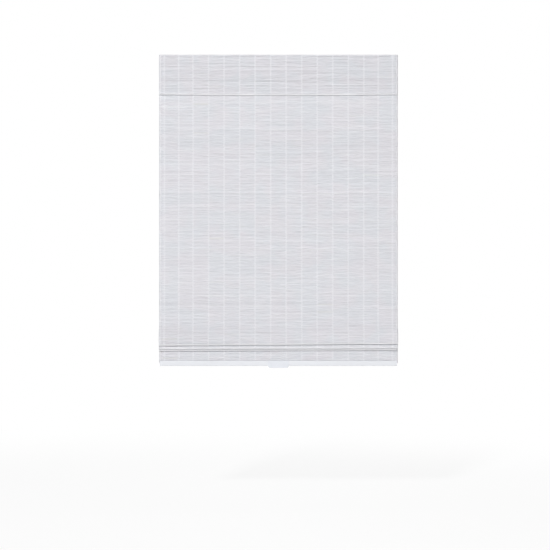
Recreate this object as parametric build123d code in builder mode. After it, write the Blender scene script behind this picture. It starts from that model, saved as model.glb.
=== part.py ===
from build123d import *
import math
import os

os.makedirs("parts", exist_ok=True)

# Cordless roman shade of woven reeds, hung inside a window recess and partly raised.
# Lengths are millimetres. X runs along the width, the room is on the -Y side, +Z is up.
# The origin is the middle of the four screw holes, on the top faces of the brackets.

# Overall
shade_width = 901.0
head_gap = 1.0
hang_drop = 1174.0
soft_gap = 0.3
run_gap = 0.06
seat_gap = 0.2

# Reed wall
reed_pitch = 6.6
reed_core = 1.5
reed_ridge = 0.25
layer_pitch = 3.8
turn_radius = 1.85
mat_bend = 24.0
fold_bend = 4.0
gap_rows = 7
gap_height = 0.8
gap_flat = 1.6
gap_side = 4.0
gap_margin = 40.0

# Warp yarns
column_pitch = 58.6
column_count = 12
edge_column_insets = (74.0, 20.0, 4.5)
yarn_width = 7.6
selvage_width = 5.0
yarn_thickness = 0.25
yarn_gap = 0.1

# Valance
valance_drop = 150.5
valance_hem = 28.0
tape_height = 22.0
tape_top = 4.0
mat_tape_thickness = 2.0

# Gathered folds, front fold first: height of each lower edge above the bottom rail's underside
fold_rises = (79.5, 64.0, 57.0)
stack_pitch = 11.0
front_fold_half = 79.0
mat_top = 3.0

# Headrail
head_depth = 50.0
head_height = 38.0
head_wall = 1.0
head_corner = 2.0
head_lip = 6.5
head_hem = 3.5
head_side_gap = 2.0
cap_wall = 2.0
cap_plug = 9.0
plug_wall = 1.6

# Brackets
bracket_thickness = 1.5
bracket_width = 30.0
bracket_inset = 80.0
bracket_gap = 0.3
hook_reach = 5.0
screw_spacing = 20.0
screw_hole_radius = 2.25

# Lift shaft and spools
shaft_flats = 5.0
shaft_setback = 17.0
shaft_overhang = 5.0
spool_radius = 12.0
spool_flange_radius = 15.0
spool_flange = 1.5
spool_barrel = 27.0
journal_radius = 5.0
journal_length = 3.0
spool_side_gap = 0.4
cord_inset = 157.5

# Lift cords and rings
cord_radius = 0.75
cord_gap = 0.1
turn_width = 11.5
ring_inner = 4.4
ring_thickness = 1.6
ring_spacing = 159.0
upper_rows = 5
connector_radius = 3.2
connector_length = 9.0
connector_flange = 0.8

# Cradles
cradle_floor = 1.5
cradle_wall = 2.0
cradle_back = 17.0
outlet_radius = 2.4
outlet_reach = 2.0
snap_slot = 8.0

# Spring motor
motor_x = 146.0
motor_length = 52.0
motor_wall = 1.5
motor_end_wall = 2.5
motor_gap = 1.0
drum_side_gap = 0.5
output_coil = 1.6
storage_coil = 2.4
coil_gap = 0.1
band_thickness = 0.3
band_gap = 0.3
drum_flange = 1.2
drum_rim = 1.0
gear_teeth = 19
gear_width = 4.0
tooth_above = 0.7
tooth_below = 1.5
tooth_sink = 0.2
tooth_root = 1.5
tooth_tip = 0.8
storage_journal = 3.0

# Bottom rail
rail_height = 20.0
rail_depth = 12.0
rail_wall = 1.2
rail_corner = 2.5
rail_side_gap = 3.0
groove_gap = 0.5
groove_depth = 10.0
groove_wall = 1.0
rail_cap_wall = 2.0
rail_cap_plug = 7.0

# Handle
handle_width = 78.0
handle_wall = 2.0
handle_lip = 7.4
handle_chamfer = 5.0
handle_back_height = 13.0

# Levels and planes worked out from the sizes
valance_top_z = -head_gap
rail_bottom_z = valance_top_z - hang_drop
rail_top_z = rail_bottom_z + rail_height
head_top_z = -(bracket_thickness + bracket_gap)
head_bottom_z = head_top_z - head_height
head_floor_z = head_bottom_z + head_wall
head_front_y = -head_depth / 2
reed_half = reed_core / 2 + reed_ridge
yarn_half = reed_half + yarn_gap + yarn_thickness
mat_y = head_front_y - mat_tape_thickness - soft_gap - yarn_half
valance_back_y = mat_y - 2 * yarn_half - soft_gap
valance_y = valance_back_y - layer_pitch
shaft_y = head_front_y + shaft_setback
shaft_z = head_floor_z + cradle_floor + 1.5 + spool_flange_radius
cord_y = shaft_y - spool_radius - cord_gap - cord_radius
ring_outer = cord_y - (mat_y + reed_half + soft_gap)
cord_x = shade_width / 2 - cord_inset
cord_places = (-cord_x, 0.0, cord_x)

# Slope of the gathered layers: the rings stand one stack pitch apart, two layers to a ring
slope = math.acos(2 * layer_pitch / stack_pitch)
layer_drop = layer_pitch / math.cos(slope)
fold_z = tuple(rail_bottom_z + rise for rise in fold_rises)
front_layer = 2 * len(fold_rises)
front_reach = front_layer * layer_pitch
ring_four_z = (fold_z[0] + front_fold_half - front_reach / math.cos(slope)
               + front_reach * math.tan(slope))

tip_reach = layer_pitch / 2 * math.sin(slope)
tip_shift = layer_pitch / 2 * (1 - math.cos(slope))


def layer_z(layer, back):
    """Height of a sloping layer where it lies `back` in front of the mat's own plane."""
    return ring_four_z - back * math.tan(slope) - (front_layer - layer) * layer_drop


def layer_bend(layer):
    """Radius of a layer where its slope turns down; all share one centre on each side."""
    return fold_bend + (layer - 1) * layer_pitch


def mat_corners():
    """Corner points and bend radii of the mat's centre line, from its top edge to the rail."""
    points = [(mat_y, -mat_top), (mat_y, ring_four_z)]
    radii = [mat_bend]
    for fold, low_z in enumerate(fold_z):
        down = front_layer - 2 * fold
        up = down - 1
        low = low_z + yarn_half
        points.append((mat_y - down * layer_pitch, layer_z(down, down * layer_pitch)))
        radii.append(layer_bend(down))
        points.append((mat_y - down * layer_pitch, low))
        points.append((mat_y - up * layer_pitch, low))
        radii += [turn_radius, turn_radius]
        if up > 1:
            points.append((mat_y - up * layer_pitch, layer_z(up, up * layer_pitch)))
            radii.append(layer_bend(up))
            points.append((mat_y - tip_shift - tip_reach, layer_z(up, tip_shift + tip_reach)))
            points.append((mat_y - tip_shift + tip_reach, layer_z(up - 1, tip_shift - tip_reach)))
            radii += [turn_radius, turn_radius]
    last_tip_z = layer_z(1, layer_pitch / 2)
    points += [(mat_y - layer_pitch, last_tip_z), (mat_y, last_tip_z)]
    radii += [turn_radius, turn_radius]
    points.append((mat_y, rail_top_z - groove_depth + soft_gap))
    return points, radii


def warp_columns(width):
    """Middle of each warp column and its width, from left to right."""
    inner = [(i - (column_count - 1) / 2) * column_pitch for i in range(column_count)]
    outer = [width / 2 - inset for inset in edge_column_insets]
    widths = [yarn_width, yarn_width, selvage_width]
    columns = [(x, yarn_width) for x in inner]
    columns += [(x, w) for x, w in zip(outer, widths)]
    columns += [(-x, w) for x, w in zip(outer, widths)]
    return sorted(columns)


def column_starts(columns):
    """Left edges of the warp columns, by their width."""
    starts = {}
    for middle, width in columns:
        starts.setdefault(width, []).append(middle - width / 2)
    return starts


def gap_panels(columns):
    """Middles of the panels between warp columns, by the width of the gap that each can hold."""
    panels = {}
    for (left_x, left_w), (right_x, right_w) in zip(columns, columns[1:]):
        width = round(right_x - left_x - (left_w + right_w) / 2 - 2 * gap_side, 3)
        if width > gap_flat:
            panels.setdefault(width, []).append((left_x + right_x) / 2)
    return panels


def walk(line, distance):
    """Point and direction on a chain of lines and arcs, at a distance from its start."""
    for edge in line:
        if distance <= edge.length + 1e-6:
            u = min(distance / edge.length, 1.0)
            return edge.position_at(u), edge.tangent_at(u)
        distance -= edge.length
    return line[-1].position_at(1), line[-1].tangent_at(1)


def reed_face(line, count, side, flats):
    """Arcs of one face of the reed wall: one crest for each reed, with a flat at each gap row."""
    step = sum(edge.length for edge in line) / count

    def place(distance, rise):
        point, along = walk(line, distance)
        return point + Vector(-along.Y, along.X) * side * (reed_core / 2 + rise)

    arcs = []
    for i in range(count):
        start = i * step + (gap_flat / 2 if i in flats else 0)
        end = (i + 1) * step - (gap_flat / 2 if i + 1 in flats else 0)
        low, crest, high = place(start, 0), place((start + end) / 2, reed_ridge), place(end, 0)
        arcs.append(ThreePointArc(low, crest, high, mode=Mode.PRIVATE))
        if i + 1 in flats:
            arcs.append(Line(high, place(end + gap_flat, 0), mode=Mode.PRIVATE))
    return arcs


def reed_outline(line, count, flats=()):
    """Closed outline of a reed wall along its centre line."""
    left = reed_face(line, count, 1, flats)
    right = reed_face(line, count, -1, flats)
    top = Line(left[0] @ 0, right[0] @ 0, mode=Mode.PRIVATE)
    low = Line(left[-1] @ 1, right[-1] @ 1, mode=Mode.PRIVATE)
    return [*left, low, *right, top]


# Woven mat: one wall of reeds with three gathered folds, its end held in the bottom rail
mat_points, mat_radii = mat_corners()
with BuildLine() as mat_centre:
    FilletPolyline(*mat_points, radius=mat_radii)
mat_line = mat_centre.wires()[0].order_edges()
mat_length = sum(edge.length for edge in mat_line)
mat_reeds = round(mat_length / reed_pitch)
reed_step = mat_length / mat_reeds
first_gap_z = valance_top_z - valance_drop - gap_margin
last_gap_z = ring_four_z + gap_margin
gap_spacing = (first_gap_z - last_gap_z) / (gap_rows - 1)
gap_reeds = [
    round((-mat_top - first_gap_z + i * gap_spacing) / reed_step) for i in range(gap_rows)
]
mat_columns = warp_columns(shade_width)
with BuildPart() as shade_mat:
    with BuildSketch(Plane.YZ.offset(-shade_width / 2)):
        with BuildLine():
            add(reed_outline(mat_line, mat_reeds, gap_reeds))
        make_face()
    extrude(amount=shade_width)
    for open_width, middles in gap_panels(mat_columns).items():
        with Locations(*((x, mat_y, -mat_top - row * reed_step) for x in middles for row in gap_reeds)):
            Box(open_width, 2 * reed_core, gap_height, mode=Mode.SUBTRACT)
shade_mat.part.label = "shade_mat"
export_step(shade_mat.part, "parts/shade_mat.step")

# Warp yarns: a band over the mat's face at each column, down the front fold and on the free flap
yarn_rise = reed_half + yarn_gap + yarn_thickness / 2
yarn_y = mat_y - yarn_rise
front_yarn_y = yarn_y - front_reach
yarn_shift = yarn_rise * (1 - math.sin(slope)) / math.cos(slope)
front_corner_z = layer_z(front_layer, front_reach)
with BuildPart() as warp_yarns:
    for width, starts in column_starts(mat_columns).items():
        with BuildSketch(*(Plane.YZ.offset(x) for x in starts)):
            with BuildLine():
                FilletPolyline(
                    (yarn_y, -mat_top),
                    (yarn_y, ring_four_z + yarn_shift),
                    (front_yarn_y, front_corner_z + yarn_shift),
                    (front_yarn_y, fold_z[0] + reed_pitch),
                    radius=[mat_bend - yarn_rise, layer_bend(front_layer) + yarn_rise],
                )
            trace(line_width=yarn_thickness)
            with Locations((yarn_y, (fold_z[-1] + rail_top_z) / 2)):
                Rectangle(yarn_thickness, fold_z[-1] - rail_top_z - 4 * soft_gap)
        extrude(amount=width)
warp_yarns.part.label = "warp_yarns"
export_step(warp_yarns.part, "parts/warp_yarns.step")

# Valance: a reed strip whose lower edge is turned up behind it
valance_low_z = valance_top_z - valance_drop + reed_half
with BuildLine() as valance_centre:
    FilletPolyline(
        (valance_y, valance_top_z),
        (valance_y, valance_low_z),
        (valance_back_y, valance_low_z),
        (valance_back_y, valance_low_z + valance_hem),
        radius=turn_radius,
    )
valance_line = valance_centre.wires()[0].order_edges()
valance_reeds = round(sum(edge.length for edge in valance_line) / reed_pitch)
with BuildPart() as valance:
    with BuildSketch(Plane.YZ.offset(-shade_width / 2)):
        with BuildLine():
            add(reed_outline(valance_line, valance_reeds))
        make_face()
    extrude(amount=shade_width)
valance.part.label = "valance"
export_step(valance.part, "parts/valance.step")

valance_yarn_y = valance_y - yarn_rise
valance_yarn_low_z = valance_low_z + turn_radius
with BuildPart() as valance_yarns:
    for width, starts in column_starts(mat_columns).items():
        with Locations(*((x, valance_yarn_y, valance_yarn_low_z) for x in starts)):
            Box(
                width,
                yarn_thickness,
                valance_top_z - valance_yarn_low_z,
                align=(Align.MIN, Align.CENTER, Align.MIN),
            )
valance_yarns.part.label = "valance_yarns"
export_step(valance_yarns.part, "parts/valance_yarns.step")

# Hook-and-loop tapes: mat to headrail, and valance to mat
head_length = shade_width - 2 * (head_side_gap + cap_wall)
tape_z = head_top_z - tape_top - tape_height / 2
with BuildPart() as mat_tape:
    with Locations((0, head_front_y - mat_tape_thickness / 2, tape_z)):
        Box(head_length, mat_tape_thickness, tape_height)
mat_tape.part.label = "mat_tape"
export_step(mat_tape.part, "parts/mat_tape.step")

tape_front_y = valance_y + reed_half + soft_gap
tape_back_y = mat_y - yarn_half - soft_gap
with BuildPart() as valance_tape:
    with Locations((0, (tape_front_y + tape_back_y) / 2, tape_z)):
        Box(head_length, tape_back_y - tape_front_y, tape_height)
valance_tape.part.label = "valance_tape"
export_step(valance_tape.part, "parts/valance_tape.step")

# Headrail: roll-formed channel, open at the top, with hemmed lips and an outlet below each spool
inner_depth = head_depth - 2 * head_wall
with BuildPart() as headrail:
    with BuildSketch(Plane.YZ):
        with Locations((0, head_top_z)):
            Rectangle(head_depth, head_height, align=(Align.CENTER, Align.MAX))
        fillet(vertices(), radius=head_corner)
        with Locations((0, head_floor_z)):
            Rectangle(inner_depth, head_height - 2 * head_wall, align=(Align.CENTER, Align.MIN), mode=Mode.SUBTRACT)
        with Locations((0, head_top_z)):
            Rectangle(head_depth - 2 * head_lip, 3 * head_wall, mode=Mode.SUBTRACT)
        for side in (-1, 1):
            with Locations((side * (head_depth / 2 - head_lip + head_wall / 2), head_top_z)):
                Rectangle(head_wall, head_hem, align=(Align.CENTER, Align.MAX))
    extrude(amount=head_length / 2, both=True)
    for place in cord_places:
        with Locations((place, cord_y, head_floor_z)):
            Hole(radius=outlet_radius + seat_gap / 2, depth=2 * head_wall)
headrail.part.label = "headrail"
export_step(headrail.part, "parts/headrail.step")

# End caps: a plate over each end of the channel, with a plug inside it
for side, name in ((-1, "end_cap_left"), (1, "end_cap_right")):
    with BuildPart() as end_cap:
        with BuildSketch(Plane.YZ.offset(side * head_length / 2)):
            with Locations((0, head_top_z)):
                Rectangle(head_depth, head_height, align=(Align.CENTER, Align.MAX))
            fillet(vertices(), radius=head_corner)
        extrude(amount=side * cap_wall)
        with BuildSketch(Plane.YZ.offset(side * head_length / 2)):
            plug_height = head_height - head_wall - head_hem - 2 * seat_gap
            with Locations((0, head_floor_z + seat_gap)):
                Rectangle(inner_depth - 2 * seat_gap, plug_height, align=(Align.CENTER, Align.MIN))
            with Locations((0, head_floor_z + seat_gap + plug_wall)):
                Rectangle(
                    inner_depth - 2 * seat_gap - 2 * plug_wall,
                    plug_height,
                    align=(Align.CENTER, Align.MIN),
                    mode=Mode.SUBTRACT,
                )
        extrude(amount=-side * cap_plug)
    end_cap.part.label = name
    export_step(end_cap.part, f"parts/{name}.step")

# Brackets: a plate against the recess, with two legs hooked under the hems of the lips
bracket_x = shade_width / 2 - bracket_inset
leg_y = head_depth / 2 - head_lip - soft_gap
hook_z = head_top_z - head_hem - bracket_gap
for side, name in ((-1, "bracket_left"), (1, "bracket_right")):
    with BuildPart() as bracket:
        with BuildSketch(Plane.YZ.offset(side * bracket_x - bracket_width / 2)):
            with Locations((0, 0)):
                Rectangle(head_depth, bracket_thickness, align=(Align.CENTER, Align.MAX))
            for edge in (-1, 1):
                with Locations((edge * (leg_y - bracket_thickness / 2), 0)):
                    Rectangle(
                        bracket_thickness,
                        bracket_thickness - hook_z,
                        align=(Align.CENTER, Align.MAX),
                    )
                with Locations((edge * (leg_y - bracket_thickness + hook_reach / 2), hook_z)):
                    Rectangle(hook_reach, bracket_thickness, align=(Align.CENTER, Align.MAX))
        extrude(amount=bracket_width)
        with Locations((side * bracket_x, 0, 0)):
            with GridLocations(1, screw_spacing, 1, 2):
                Hole(radius=screw_hole_radius, depth=bracket_thickness)
    bracket.part.label = name
    export_step(bracket.part, f"parts/{name}.step")

# Lift shaft: a hexagonal bar through the three spools and the spring motor
hex_radius = shaft_flats / 2 / math.cos(math.pi / 6)
spool_length = spool_barrel + 2 * spool_flange
cradle_inside = spool_length + 2 * spool_side_gap
shaft_length = 2 * (cord_x + cradle_inside / 2 + cradle_wall + shaft_overhang)
with BuildPart() as lift_shaft:
    with BuildSketch(Plane.YZ):
        with Locations((shaft_y, shaft_z)):
            RegularPolygon(hex_radius, 6)
    extrude(amount=shaft_length / 2, both=True)
lift_shaft.part.label = "lift_shaft"
export_step(lift_shaft.part, "parts/lift_shaft.step")


def across(x, y):
    """Plane square to the shaft, centred on an axis at depth y and the shaft's height."""
    return Plane(origin=(x, y, shaft_z), x_dir=(0, 1, 0), z_dir=(1, 0, 0))


# Spools, with the wound turns of cord beside the point where each cord leaves
for place, tag in zip(cord_places, ("left", "middle", "right")):
    with BuildPart() as spool:
        with BuildSketch(across(place - spool_length / 2, shaft_y)):
            Circle(spool_flange_radius)
        extrude(amount=spool_flange)
        with BuildSketch(across(place + spool_length / 2, shaft_y)):
            Circle(spool_flange_radius)
        extrude(amount=-spool_flange)
        with BuildSketch(across(place, shaft_y)):
            Circle(spool_radius)
        extrude(amount=spool_length / 2, both=True)
        with BuildSketch(across(place, shaft_y)):
            Circle(journal_radius)
        extrude(amount=spool_length / 2 + journal_length, both=True)
        with BuildSketch(across(place, shaft_y)):
            RegularPolygon(hex_radius + seat_gap / 2, 6)
        extrude(amount=spool_length, both=True, mode=Mode.SUBTRACT)
    spool.part.label = f"spool_{tag}"
    export_step(spool.part, f"parts/spool_{tag}.step")

with BuildPart() as cord_turns:
    for place in cord_places:
        with BuildSketch(across(place + cord_radius + cord_gap, shaft_y)):
            Circle(spool_radius + cord_gap + 2 * cord_radius)
            Circle(spool_radius + cord_gap, mode=Mode.SUBTRACT)
        extrude(amount=turn_width)
cord_turns.part.label = "cord_turns"
export_step(cord_turns.part, "parts/cord_turns.step")

# Cradles: a floor with two snap-in bearings, and a cord outlet through the channel's floor
cradle_length = cradle_inside + 2 * cradle_wall
cradle_front_y = head_front_y + head_wall + soft_gap
for place, tag in zip(cord_places, ("left", "middle", "right")):
    with BuildPart() as cradle:
        with BuildSketch(Plane.YZ.offset(place - cradle_length / 2)):
            with Locations((cradle_front_y, head_floor_z)):
                Rectangle(cradle_back - cradle_front_y, cradle_floor, align=(Align.MIN, Align.MIN))
        extrude(amount=cradle_length)
        for start in (-cradle_length / 2, cradle_length / 2 - cradle_wall):
            with BuildSketch(Plane.YZ.offset(place + start)):
                with BuildLine():
                    Polyline(
                        (cradle_front_y, head_floor_z),
                        (cradle_back, head_floor_z),
                        (shaft_y + journal_radius + 2, shaft_z + journal_radius),
                        (shaft_y - journal_radius - 2, shaft_z + journal_radius),
                        (cradle_front_y, shaft_z),
                        close=True,
                    )
                make_face()
                with Locations((shaft_y, shaft_z)):
                    Circle(journal_radius + run_gap, mode=Mode.SUBTRACT)
                    Rectangle(
                        snap_slot, 2 * journal_radius, align=(Align.CENTER, Align.MIN), mode=Mode.SUBTRACT
                    )
            extrude(amount=cradle_wall)
        with BuildSketch(Plane.XY.offset(head_floor_z + cradle_floor)):
            with Locations((place, cord_y)):
                Circle(outlet_radius)
        extrude(amount=-(cradle_floor + head_wall + outlet_reach))
        with BuildSketch(Plane.XY.offset(head_floor_z + cradle_floor)):
            with Locations((place, cord_y)):
                Circle(cord_radius + 2 * cord_gap)
        extrude(amount=-(cradle_floor + head_wall + outlet_reach), mode=Mode.SUBTRACT)
    cradle.part.label = f"cradle_{tag}"
    export_step(cradle.part, f"parts/cradle_{tag}.step")

# Spring motor: a geared pair of drums in an open housing with a cover
motor_back_y = head_depth / 2 - head_wall - soft_gap - motor_wall
drum_distance = (motor_back_y - motor_gap - tooth_above - shaft_y) / 1.5
storage_y = shaft_y + drum_distance
gear_root = drum_distance / 2 - tooth_below
gear_tip = drum_distance / 2 + tooth_above
motor_front_y = shaft_y - gear_tip - motor_gap
motor_top_z = shaft_z + gear_tip + motor_gap
coil_radius = gear_root - coil_gap
output_barrel = coil_radius - output_coil - band_gap
storage_barrel = coil_radius - storage_coil - band_gap
motor_inner = motor_length - 2 * motor_end_wall
with BuildPart() as motor_housing:
    with BuildSketch(Plane.XY.offset(head_floor_z)):
        with Locations((motor_x, (motor_front_y + motor_back_y) / 2)):
            Rectangle(motor_length, motor_back_y - motor_front_y + 2 * motor_wall)
    extrude(amount=motor_top_z - head_floor_z)
    with BuildSketch(Plane.XY.offset(head_floor_z + motor_wall)):
        with Locations((motor_x, (motor_front_y + motor_back_y) / 2)):
            Rectangle(motor_inner, motor_back_y - motor_front_y)
    extrude(amount=motor_top_z - head_floor_z, mode=Mode.SUBTRACT)
    with BuildSketch(across(motor_x, shaft_y)):
        Circle(journal_radius + run_gap)
        with Locations((drum_distance, 0)):
            Circle(storage_journal + run_gap)
    extrude(amount=motor_length, both=True, mode=Mode.SUBTRACT)
motor_housing.part.label = "motor_housing"
export_step(motor_housing.part, "parts/motor_housing.step")

with BuildPart() as motor_cover:
    with Locations((motor_x, (motor_front_y + motor_back_y) / 2, motor_top_z)):
        Box(
            motor_length,
            motor_back_y - motor_front_y + 2 * motor_wall,
            motor_wall,
            align=(Align.CENTER, Align.CENTER, Align.MIN),
        )
        Box(
            motor_inner - 2 * seat_gap,
            motor_back_y - motor_front_y - 2 * seat_gap,
            2 * motor_wall,
            align=(Align.CENTER, Align.CENTER, Align.CENTER),
        )
        Box(
            motor_inner - 2 * seat_gap - 2 * motor_wall,
            motor_back_y - motor_front_y - 2 * seat_gap - 2 * motor_wall,
            4 * motor_wall,
            align=(Align.CENTER, Align.CENTER, Align.MAX),
            mode=Mode.SUBTRACT,
        )
motor_cover.part.label = "motor_cover"
export_step(motor_cover.part, "parts/motor_cover.step")

drum_length = motor_inner - 2 * drum_side_gap
drum_start = motor_x - drum_length / 2
for y, barrel, journal, name in (
    (shaft_y, output_barrel, journal_radius, "output_drum"),
    (storage_y, storage_barrel, storage_journal, "storage_drum"),
):
    with BuildPart() as drum:
        with BuildSketch(across(drum_start, y)):
            Circle(gear_root + drum_rim)
        extrude(amount=drum_flange)
        with BuildSketch(across(drum_start, y)):
            Circle(barrel)
        extrude(amount=drum_length)
        with BuildSketch(across(drum_start + drum_length - gear_width, y)):
            Circle(gear_root)
            with PolarLocations(gear_root - tooth_sink, gear_teeth):
                with BuildLine():
                    Polyline(
                        (0, -tooth_root / 2),
                        (gear_tip - gear_root + tooth_sink, -tooth_tip / 2),
                        (gear_tip - gear_root + tooth_sink, tooth_tip / 2),
                        (0, tooth_root / 2),
                        close=True,
                    )
                make_face()
        extrude(amount=gear_width)
        with BuildSketch(across(motor_x, y)):
            Circle(journal)
        extrude(amount=motor_length / 2 - seat_gap, both=True)
        if y == shaft_y:
            with BuildSketch(across(motor_x, y)):
                RegularPolygon(hex_radius + seat_gap / 2, 6)
            extrude(amount=motor_length, both=True, mode=Mode.SUBTRACT)
    drum.part.label = name
    export_step(drum.part, f"parts/{name}.step")

# Spring band: wound on both drums, crossing between them
cross = math.acos(2 * coil_radius / drum_distance)
inside = coil_radius - band_thickness / 2
outside = coil_radius + band_thickness / 2
band_width = drum_length - drum_flange - gear_width - 2 * drum_side_gap
with BuildPart() as spring_band:
    with BuildSketch(across(drum_start + drum_flange + drum_side_gap, shaft_y)):
        with BuildLine():
            Polyline(
                (inside * math.cos(cross), inside * math.sin(cross)),
                (outside * math.cos(cross), outside * math.sin(cross)),
                (drum_distance - inside * math.cos(cross), -inside * math.sin(cross)),
                (drum_distance - outside * math.cos(cross), -outside * math.sin(cross)),
                close=True,
            )
        make_face()
        Circle(coil_radius)
        with Locations((drum_distance, 0)):
            Circle(coil_radius)
        Circle(output_barrel + band_gap, mode=Mode.SUBTRACT)
        with Locations((drum_distance, 0)):
            Circle(storage_barrel + band_gap, mode=Mode.SUBTRACT)
    extrude(amount=band_width)
spring_band.part.label = "spring_band"
export_step(spring_band.part, "parts/spring_band.step")

# Rings: three to a row; the lowest four rows are gathered, the others stand at their own heights
tip_drop = layer_drop / 2 + layer_pitch / 2 * math.sin(slope) + ring_thickness / 2
ring_rows = [
    layer_z(1, layer_pitch / 2) - layer_pitch / 2 - ring_thickness,
    layer_z(3, tip_shift) - tip_drop,
    layer_z(5, tip_shift) - tip_drop,
    ring_four_z + mat_bend * math.tan((math.pi / 2 - slope) / 2),
]
ring_rows += [ring_rows[3] + (i + 1) * ring_spacing for i in range(upper_rows)]
for number, ring_z in enumerate(ring_rows, start=1):
    with BuildPart() as ring_row:
        for place in cord_places:
            with BuildSketch(Plane.XY.offset(ring_z)):
                with Locations((place, cord_y)):
                    Circle(ring_outer)
                    Circle(ring_inner, mode=Mode.SUBTRACT)
            extrude(amount=ring_thickness)
    ring_row.part.label = f"ring_row_{number}"
    export_step(ring_row.part, f"parts/ring_row_{number}.step")

# Cord connectors: the lowest ring rests on each
connector_top_z = ring_rows[0] - soft_gap
with BuildPart() as cord_connectors:
    for place in cord_places:
        with BuildSketch(Plane.XY.offset(connector_top_z)):
            with Locations((place, cord_y)):
                Circle(ring_inner + connector_flange)
        extrude(amount=-connector_length / 4)
        with BuildSketch(Plane.XY.offset(connector_top_z)):
            with Locations((place, cord_y)):
                Circle(connector_radius)
        extrude(amount=-connector_length)
        with BuildSketch(Plane.XY.offset(connector_top_z)):
            with Locations((place, cord_y)):
                Circle(cord_radius + cord_gap)
        extrude(amount=-connector_length, mode=Mode.SUBTRACT)
cord_connectors.part.label = "cord_connectors"
export_step(cord_connectors.part, "parts/cord_connectors.step")

# Lift cords: each leaves its spool and runs through the outlet and the rings to its connector
cord_low_z = connector_top_z - connector_length
with BuildPart() as lift_cords:
    for place in cord_places:
        with BuildSketch(Plane.XY.offset(cord_low_z)):
            with Locations((place, cord_y)):
                Circle(cord_radius)
        extrude(amount=shaft_z - cord_low_z)
lift_cords.part.label = "lift_cords"
export_step(lift_cords.part, "parts/lift_cords.step")

# Bottom rail: hollow extrusion with a groove for the mat's end
rail_length = shade_width - 2 * (rail_side_gap + rail_cap_wall)
groove_width = 2 * reed_half + 2 * groove_gap
with BuildPart() as bottom_rail:
    with BuildSketch(Plane.YZ):
        with Locations((mat_y, rail_bottom_z + rail_height / 2)):
            Rectangle(rail_depth, rail_height)
        fillet(vertices(), radius=rail_corner)
        with Locations((mat_y, rail_bottom_z + rail_height / 2)):
            Rectangle(rail_depth - 2 * rail_wall, rail_height - 2 * rail_wall, mode=Mode.SUBTRACT)
        with Locations((mat_y, rail_top_z)):
            Rectangle(
                groove_width + 2 * groove_wall, groove_depth + groove_wall, align=(Align.CENTER, Align.MAX)
            )
            Rectangle(groove_width, groove_depth, align=(Align.CENTER, Align.MAX), mode=Mode.SUBTRACT)
    extrude(amount=rail_length / 2, both=True)
bottom_rail.part.label = "bottom_rail"
export_step(bottom_rail.part, "parts/bottom_rail.step")

for side, name in ((-1, "rail_cap_left"), (1, "rail_cap_right")):
    with BuildPart() as rail_cap:
        with BuildSketch(Plane.YZ.offset(side * rail_length / 2)):
            with Locations((mat_y, rail_bottom_z + rail_height / 2)):
                Rectangle(rail_depth, rail_height)
            fillet(vertices(), radius=rail_corner)
            with Locations((mat_y, rail_top_z)):
                Rectangle(groove_width, groove_depth, align=(Align.CENTER, Align.MAX), mode=Mode.SUBTRACT)
        extrude(amount=side * rail_cap_wall)
        with BuildSketch(Plane.YZ.offset(side * rail_length / 2)):
            with Locations((mat_y, rail_bottom_z + rail_wall + seat_gap)):
                Rectangle(
                    rail_depth - 2 * rail_wall - 2 * seat_gap,
                    rail_height - rail_wall - groove_depth - groove_wall - 2 * seat_gap,
                    align=(Align.CENTER, Align.MIN),
                )
        extrude(amount=-side * rail_cap_plug)
    rail_cap.part.label = name
    export_step(rail_cap.part, f"parts/{name}.step")

# Handle: a clip around the rail with a finger lip below its front
handle_front_y = mat_y - rail_depth / 2 - seat_gap - handle_wall
handle_back_y = mat_y + rail_depth / 2 + seat_gap + handle_wall
handle_under_z = rail_bottom_z - seat_gap - handle_wall
with BuildPart() as handle:
    with BuildSketch(Plane.YZ.offset(-handle_width / 2)):
        with BuildLine():
            Polyline(
                (handle_front_y, rail_top_z),
                (handle_front_y + handle_wall, rail_top_z),
                (handle_front_y + handle_wall, rail_bottom_z - seat_gap),
                (handle_back_y - handle_wall, rail_bottom_z - seat_gap),
                (handle_back_y - handle_wall, rail_bottom_z + handle_back_height),
                (handle_back_y, rail_bottom_z + handle_back_height),
                (handle_back_y, handle_under_z),
                (handle_front_y + handle_wall, handle_under_z),
                (handle_front_y + handle_wall, rail_bottom_z - handle_lip),
                (handle_front_y, rail_bottom_z - handle_lip),
                close=True,
            )
        make_face()
    extrude(amount=handle_width)
    lip_corners = handle.edges().filter_by(Axis.Y).group_by(Axis.Z)[0]
    chamfer(lip_corners, handle_chamfer)
handle.part.label = "handle"
export_step(handle.part, "parts/handle.step")
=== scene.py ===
import math

import bmesh
import bpy
from bpy.props import FloatProperty, FloatVectorProperty, IntProperty, PointerProperty
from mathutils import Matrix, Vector


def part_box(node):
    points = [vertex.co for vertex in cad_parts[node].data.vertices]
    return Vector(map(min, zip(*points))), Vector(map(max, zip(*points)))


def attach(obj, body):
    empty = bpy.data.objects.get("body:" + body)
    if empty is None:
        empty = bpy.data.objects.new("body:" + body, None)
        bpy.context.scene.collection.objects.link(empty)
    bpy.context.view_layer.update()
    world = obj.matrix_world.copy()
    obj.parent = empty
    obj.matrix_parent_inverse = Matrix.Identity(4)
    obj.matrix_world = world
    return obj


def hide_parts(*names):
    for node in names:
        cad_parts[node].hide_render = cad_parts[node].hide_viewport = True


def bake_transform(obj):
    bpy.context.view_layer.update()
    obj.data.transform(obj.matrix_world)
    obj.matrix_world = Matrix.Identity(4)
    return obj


bl_info = {
    "name": "Woven reed roman shade",
    "version": (1, 0, 0),
    "blender": (4, 5, 0),
    "location": "3D View > Sidebar > Roman Shade",
    "description": "Dresses a roman shade of woven reeds: mat, valance, yarns, rings, cords and rails",
    "category": "Add Mesh",
}

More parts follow.
